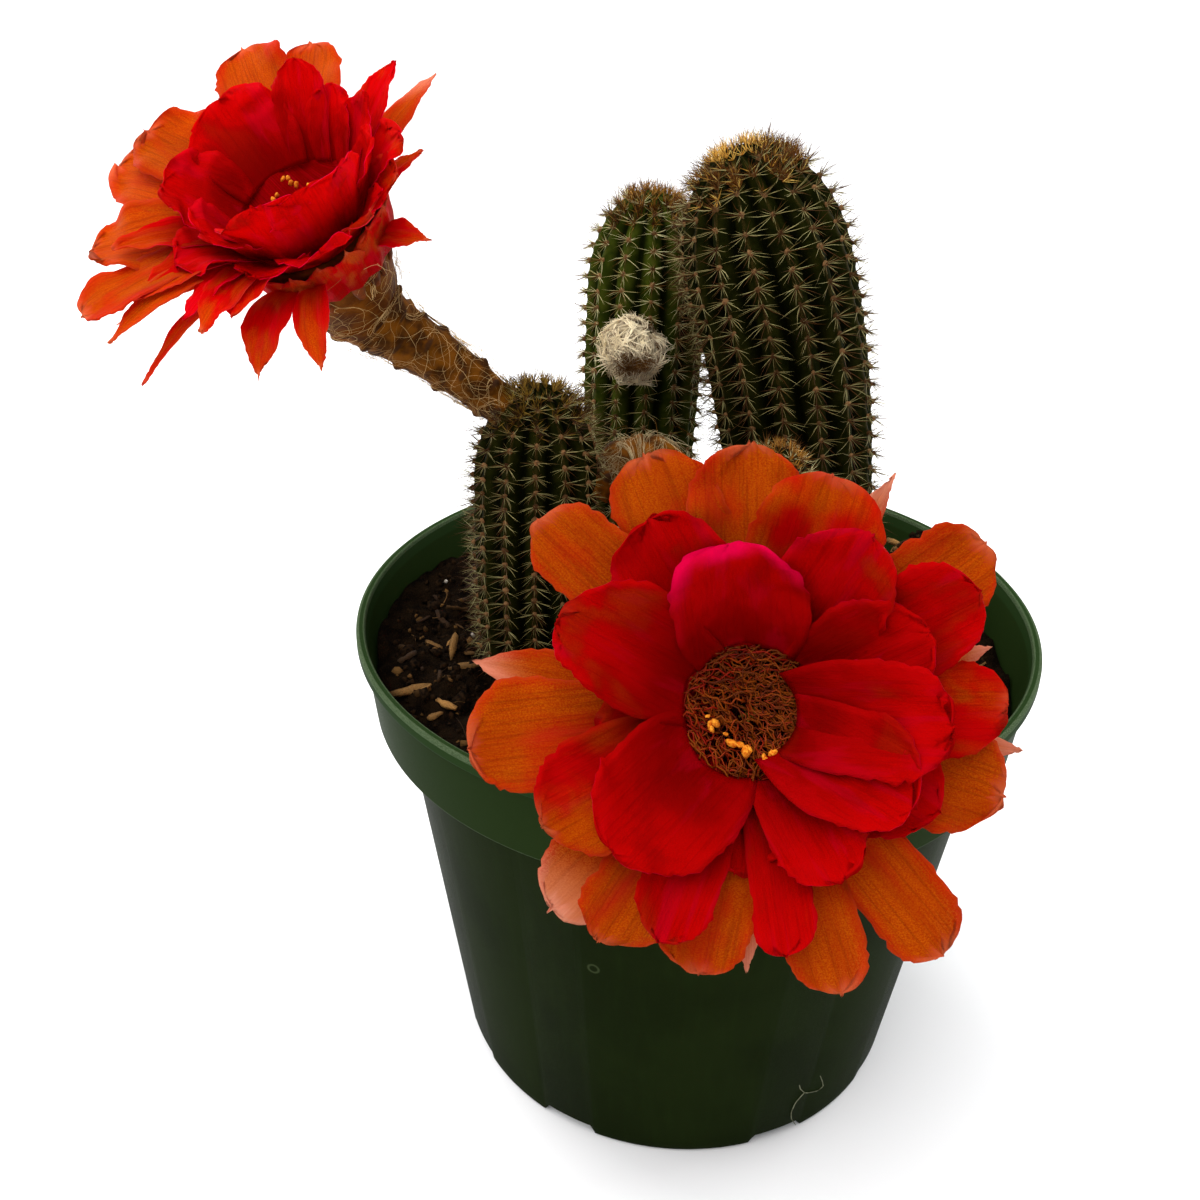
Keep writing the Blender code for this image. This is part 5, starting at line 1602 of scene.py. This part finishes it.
def filament_paths(rng, count, mat_radius, mat_height):
    """Filaments in their flower's frame: up from the pad, then flat over it in waves, mostly one way."""
    turn = rng.uniform(0, 2 * np.pi, count)
    foot = PAD_RADIUS * np.sqrt(rng.uniform(0.03, 1, count))
    root = np.stack([foot * np.cos(turn), foot * np.sin(turn), np.full(count, -4.2)], -1)
    top = root * (1.3, 1.3, 1) + rng.normal(0, 0.7, (count, 3))
    reach = np.hypot(top[:, 0], top[:, 1])
    top[:, :2] *= np.minimum(1, mat_radius / reach)[:, None]
    reach = np.minimum(reach, mat_radius)
    top[:, 2] = mat_height + 0.025 * reach ** 2 + rng.normal(0, 0.3, count)
    share = np.linspace(0, 1, FILAMENT_STEPS)[None, :, None]
    flat = np.maximum(share - 0.42, 0) / 0.58
    lean = MAT_LEAN + rng.normal(0, 0.65, count) + 0.12 * top[:, 1]
    way = np.stack([np.cos(lean), np.sin(lean), 0 * lean], -1)
    drift = MAT_DRIFT * rng.uniform(0.6, 1.2, count)[:, None] * way
    climb = np.minimum(share / 0.5, 1)
    start = top - 0.5 * drift
    paths = root[:, None, :] + (start - root)[:, None, :] * smooth(0, 1, climb)
    turns = share * rng.uniform(1.8, 3.4, (count, 1, 1)) + rng.uniform(0, 1, (count, 1, 1))
    wave = np.sin(2 * np.pi * turns)
    aside = np.stack([-np.sin(lean), np.cos(lean), 0 * lean], -1)[:, None, :]
    paths = paths + drift[:, None, :] * flat + 0.36 * wave * aside * smooth(0.3, 0.6, share)
    paths[:, :, 2] += 0.16 * np.sin(7 * share + 9 * rng.uniform(size=(count, 1, 1)))[:, :, 0]
    wide = np.hypot(paths[..., 0], paths[..., 1])[..., None]
    strays = rng.uniform(-0.9, 1.5, (count, 1, 1)) * smooth(0.2, 1, rng.uniform(size=(count, 1, 1)))
    allowed = mat_radius + strays
    paths[..., :2] *= np.minimum(1, allowed / np.maximum(wide, 0.1))
    paths[..., 2] += 0.7 * np.maximum(allowed[..., 0] - mat_radius, 0)
    return paths


def make_stamens(flower, threads, pad, pollen, seed):
    """The filaments, the pad they stand on and the open anthers of a flower."""
    rng = np.random.default_rng(seed)
    paths = filament_paths(rng, FILAMENTS[flower], *MAT[flower])
    points, faces = thread_mesh(paths, np.linspace(0.15, 0.1, FILAMENT_STEPS))
    reach = np.hypot(paths[:, -2, 0], paths[:, -2, 1])
    tone = rng.uniform(0, 0.8, len(paths)) + 0.45 * smooth(4.5, 7.5, reach) * rng.uniform(size=len(paths))
    points = in_flower(flower, points)
    add_piece(flower + "_filaments", points, faces, threads, marks=thread_marks(paths, tone))
    points = in_flower(flower, turned(np.array(PAD), PAD_COLUMNS))
    faces = closed_faces(len(PAD), PAD_COLUMNS)
    add_piece(flower + "_pad", points, faces, pad, flower + "_stamens")
    places = np.array(ANTHERS[flower])
    sizes = rng.uniform(0.7, 1.5, (len(places), 1)) * (0.55, 0.36, 0.3)
    points, faces, _ = lump_mesh(places, sizes, rng, level=2, rough=0.2)
    return add_piece(flower + "_anthers", in_flower(flower, points), faces, pollen)


def make_pistil(flower, finish):
    """A style along the axis of the flower, and its lobes, spread like a small star."""
    rng = np.random.default_rng(9)
    style = np.zeros((1, FILAMENT_STEPS, 3))
    style[0, :, 2] = np.linspace(-11, -1.4, FILAMENT_STEPS)
    turn = 2 * np.pi * np.arange(LOBES)[:, None] / LOBES
    share = np.linspace(0, 1, FILAMENT_STEPS)[None, :]
    reach = 0.25 + 1.35 * share ** 0.8
    rise = 0.6 * np.sin(2.4 * share) - 1.5 + 0 * turn
    lobes = np.stack([reach * np.cos(turn), reach * np.sin(turn), rise], -1)
    paths = np.concatenate([style, lobes])
    paths += rng.normal(0, 0.03, paths.shape)
    radii = np.concatenate([np.full((1, FILAMENT_STEPS), 0.5), np.tile(0.26 - 0.14 * share, (LOBES, 1))])
    points, faces = thread_mesh(paths, radii, PISTIL_SIDES, pointed=False)
    name = flower + "_pistil"
    return add_piece(name, in_flower(flower, points), faces, finish, name)


print("filaments:", FILAMENTS)

# %% [markdown]
# Filaments are dark red at the foot, olive brown along their length and orange red at the tip. A few are
# red all along, most of them near the edge of the mat. The pad under them is painted a very dark red as
# the shade deep in the mat, which is what shows in the gaps. Pollen makes the anthers a matt orange yellow.

# %% Finishes of the stamens
def make_filament_finish():
    made, tree, shader = new_finish("filament", 0.5)
    along, tone, _ = split_mark(tree, "thread")
    olive = mix(tree, tone, (74, 18, 0), (150, 72, 2))
    footed = mix(tree, between(tree, along, 0.3, 0.55), (80, 0, 0), olive)
    tipped = mix(tree, between(tree, along, 0.85, 1.0, 0, 0.7), footed, (168, 40, 2))
    red_ones = mix(tree, between(tree, tone, 0.64, 0.84), tipped, (132, 20, 0))
    cover(tree, shader, red_ones, 5000.0, 0.06, 0.5)
    return made


FILAMENT = make_filament_finish()
# Painted shade: the pad is a very dark red, which shows in the gaps between the filaments.
THROAT_SHADE = make_grained_finish("throat", (40, 2, 2), (76, 6, 4), 900.0, 0.7)
POLLEN = make_grained_finish("pollen", (200, 96, 10), (244, 160, 44), 3000.0, 0.85)
PISTIL = make_grained_finish("pistil", (96, 66, 14), (148, 110, 30), 2500.0, 0.55)
for flower, seed in (("flower_front", 60), ("flower_left", 70)):
    make_stamens(flower, FILAMENT, THROAT_SHADE, POLLEN, seed)
    make_pistil(flower, PISTIL)
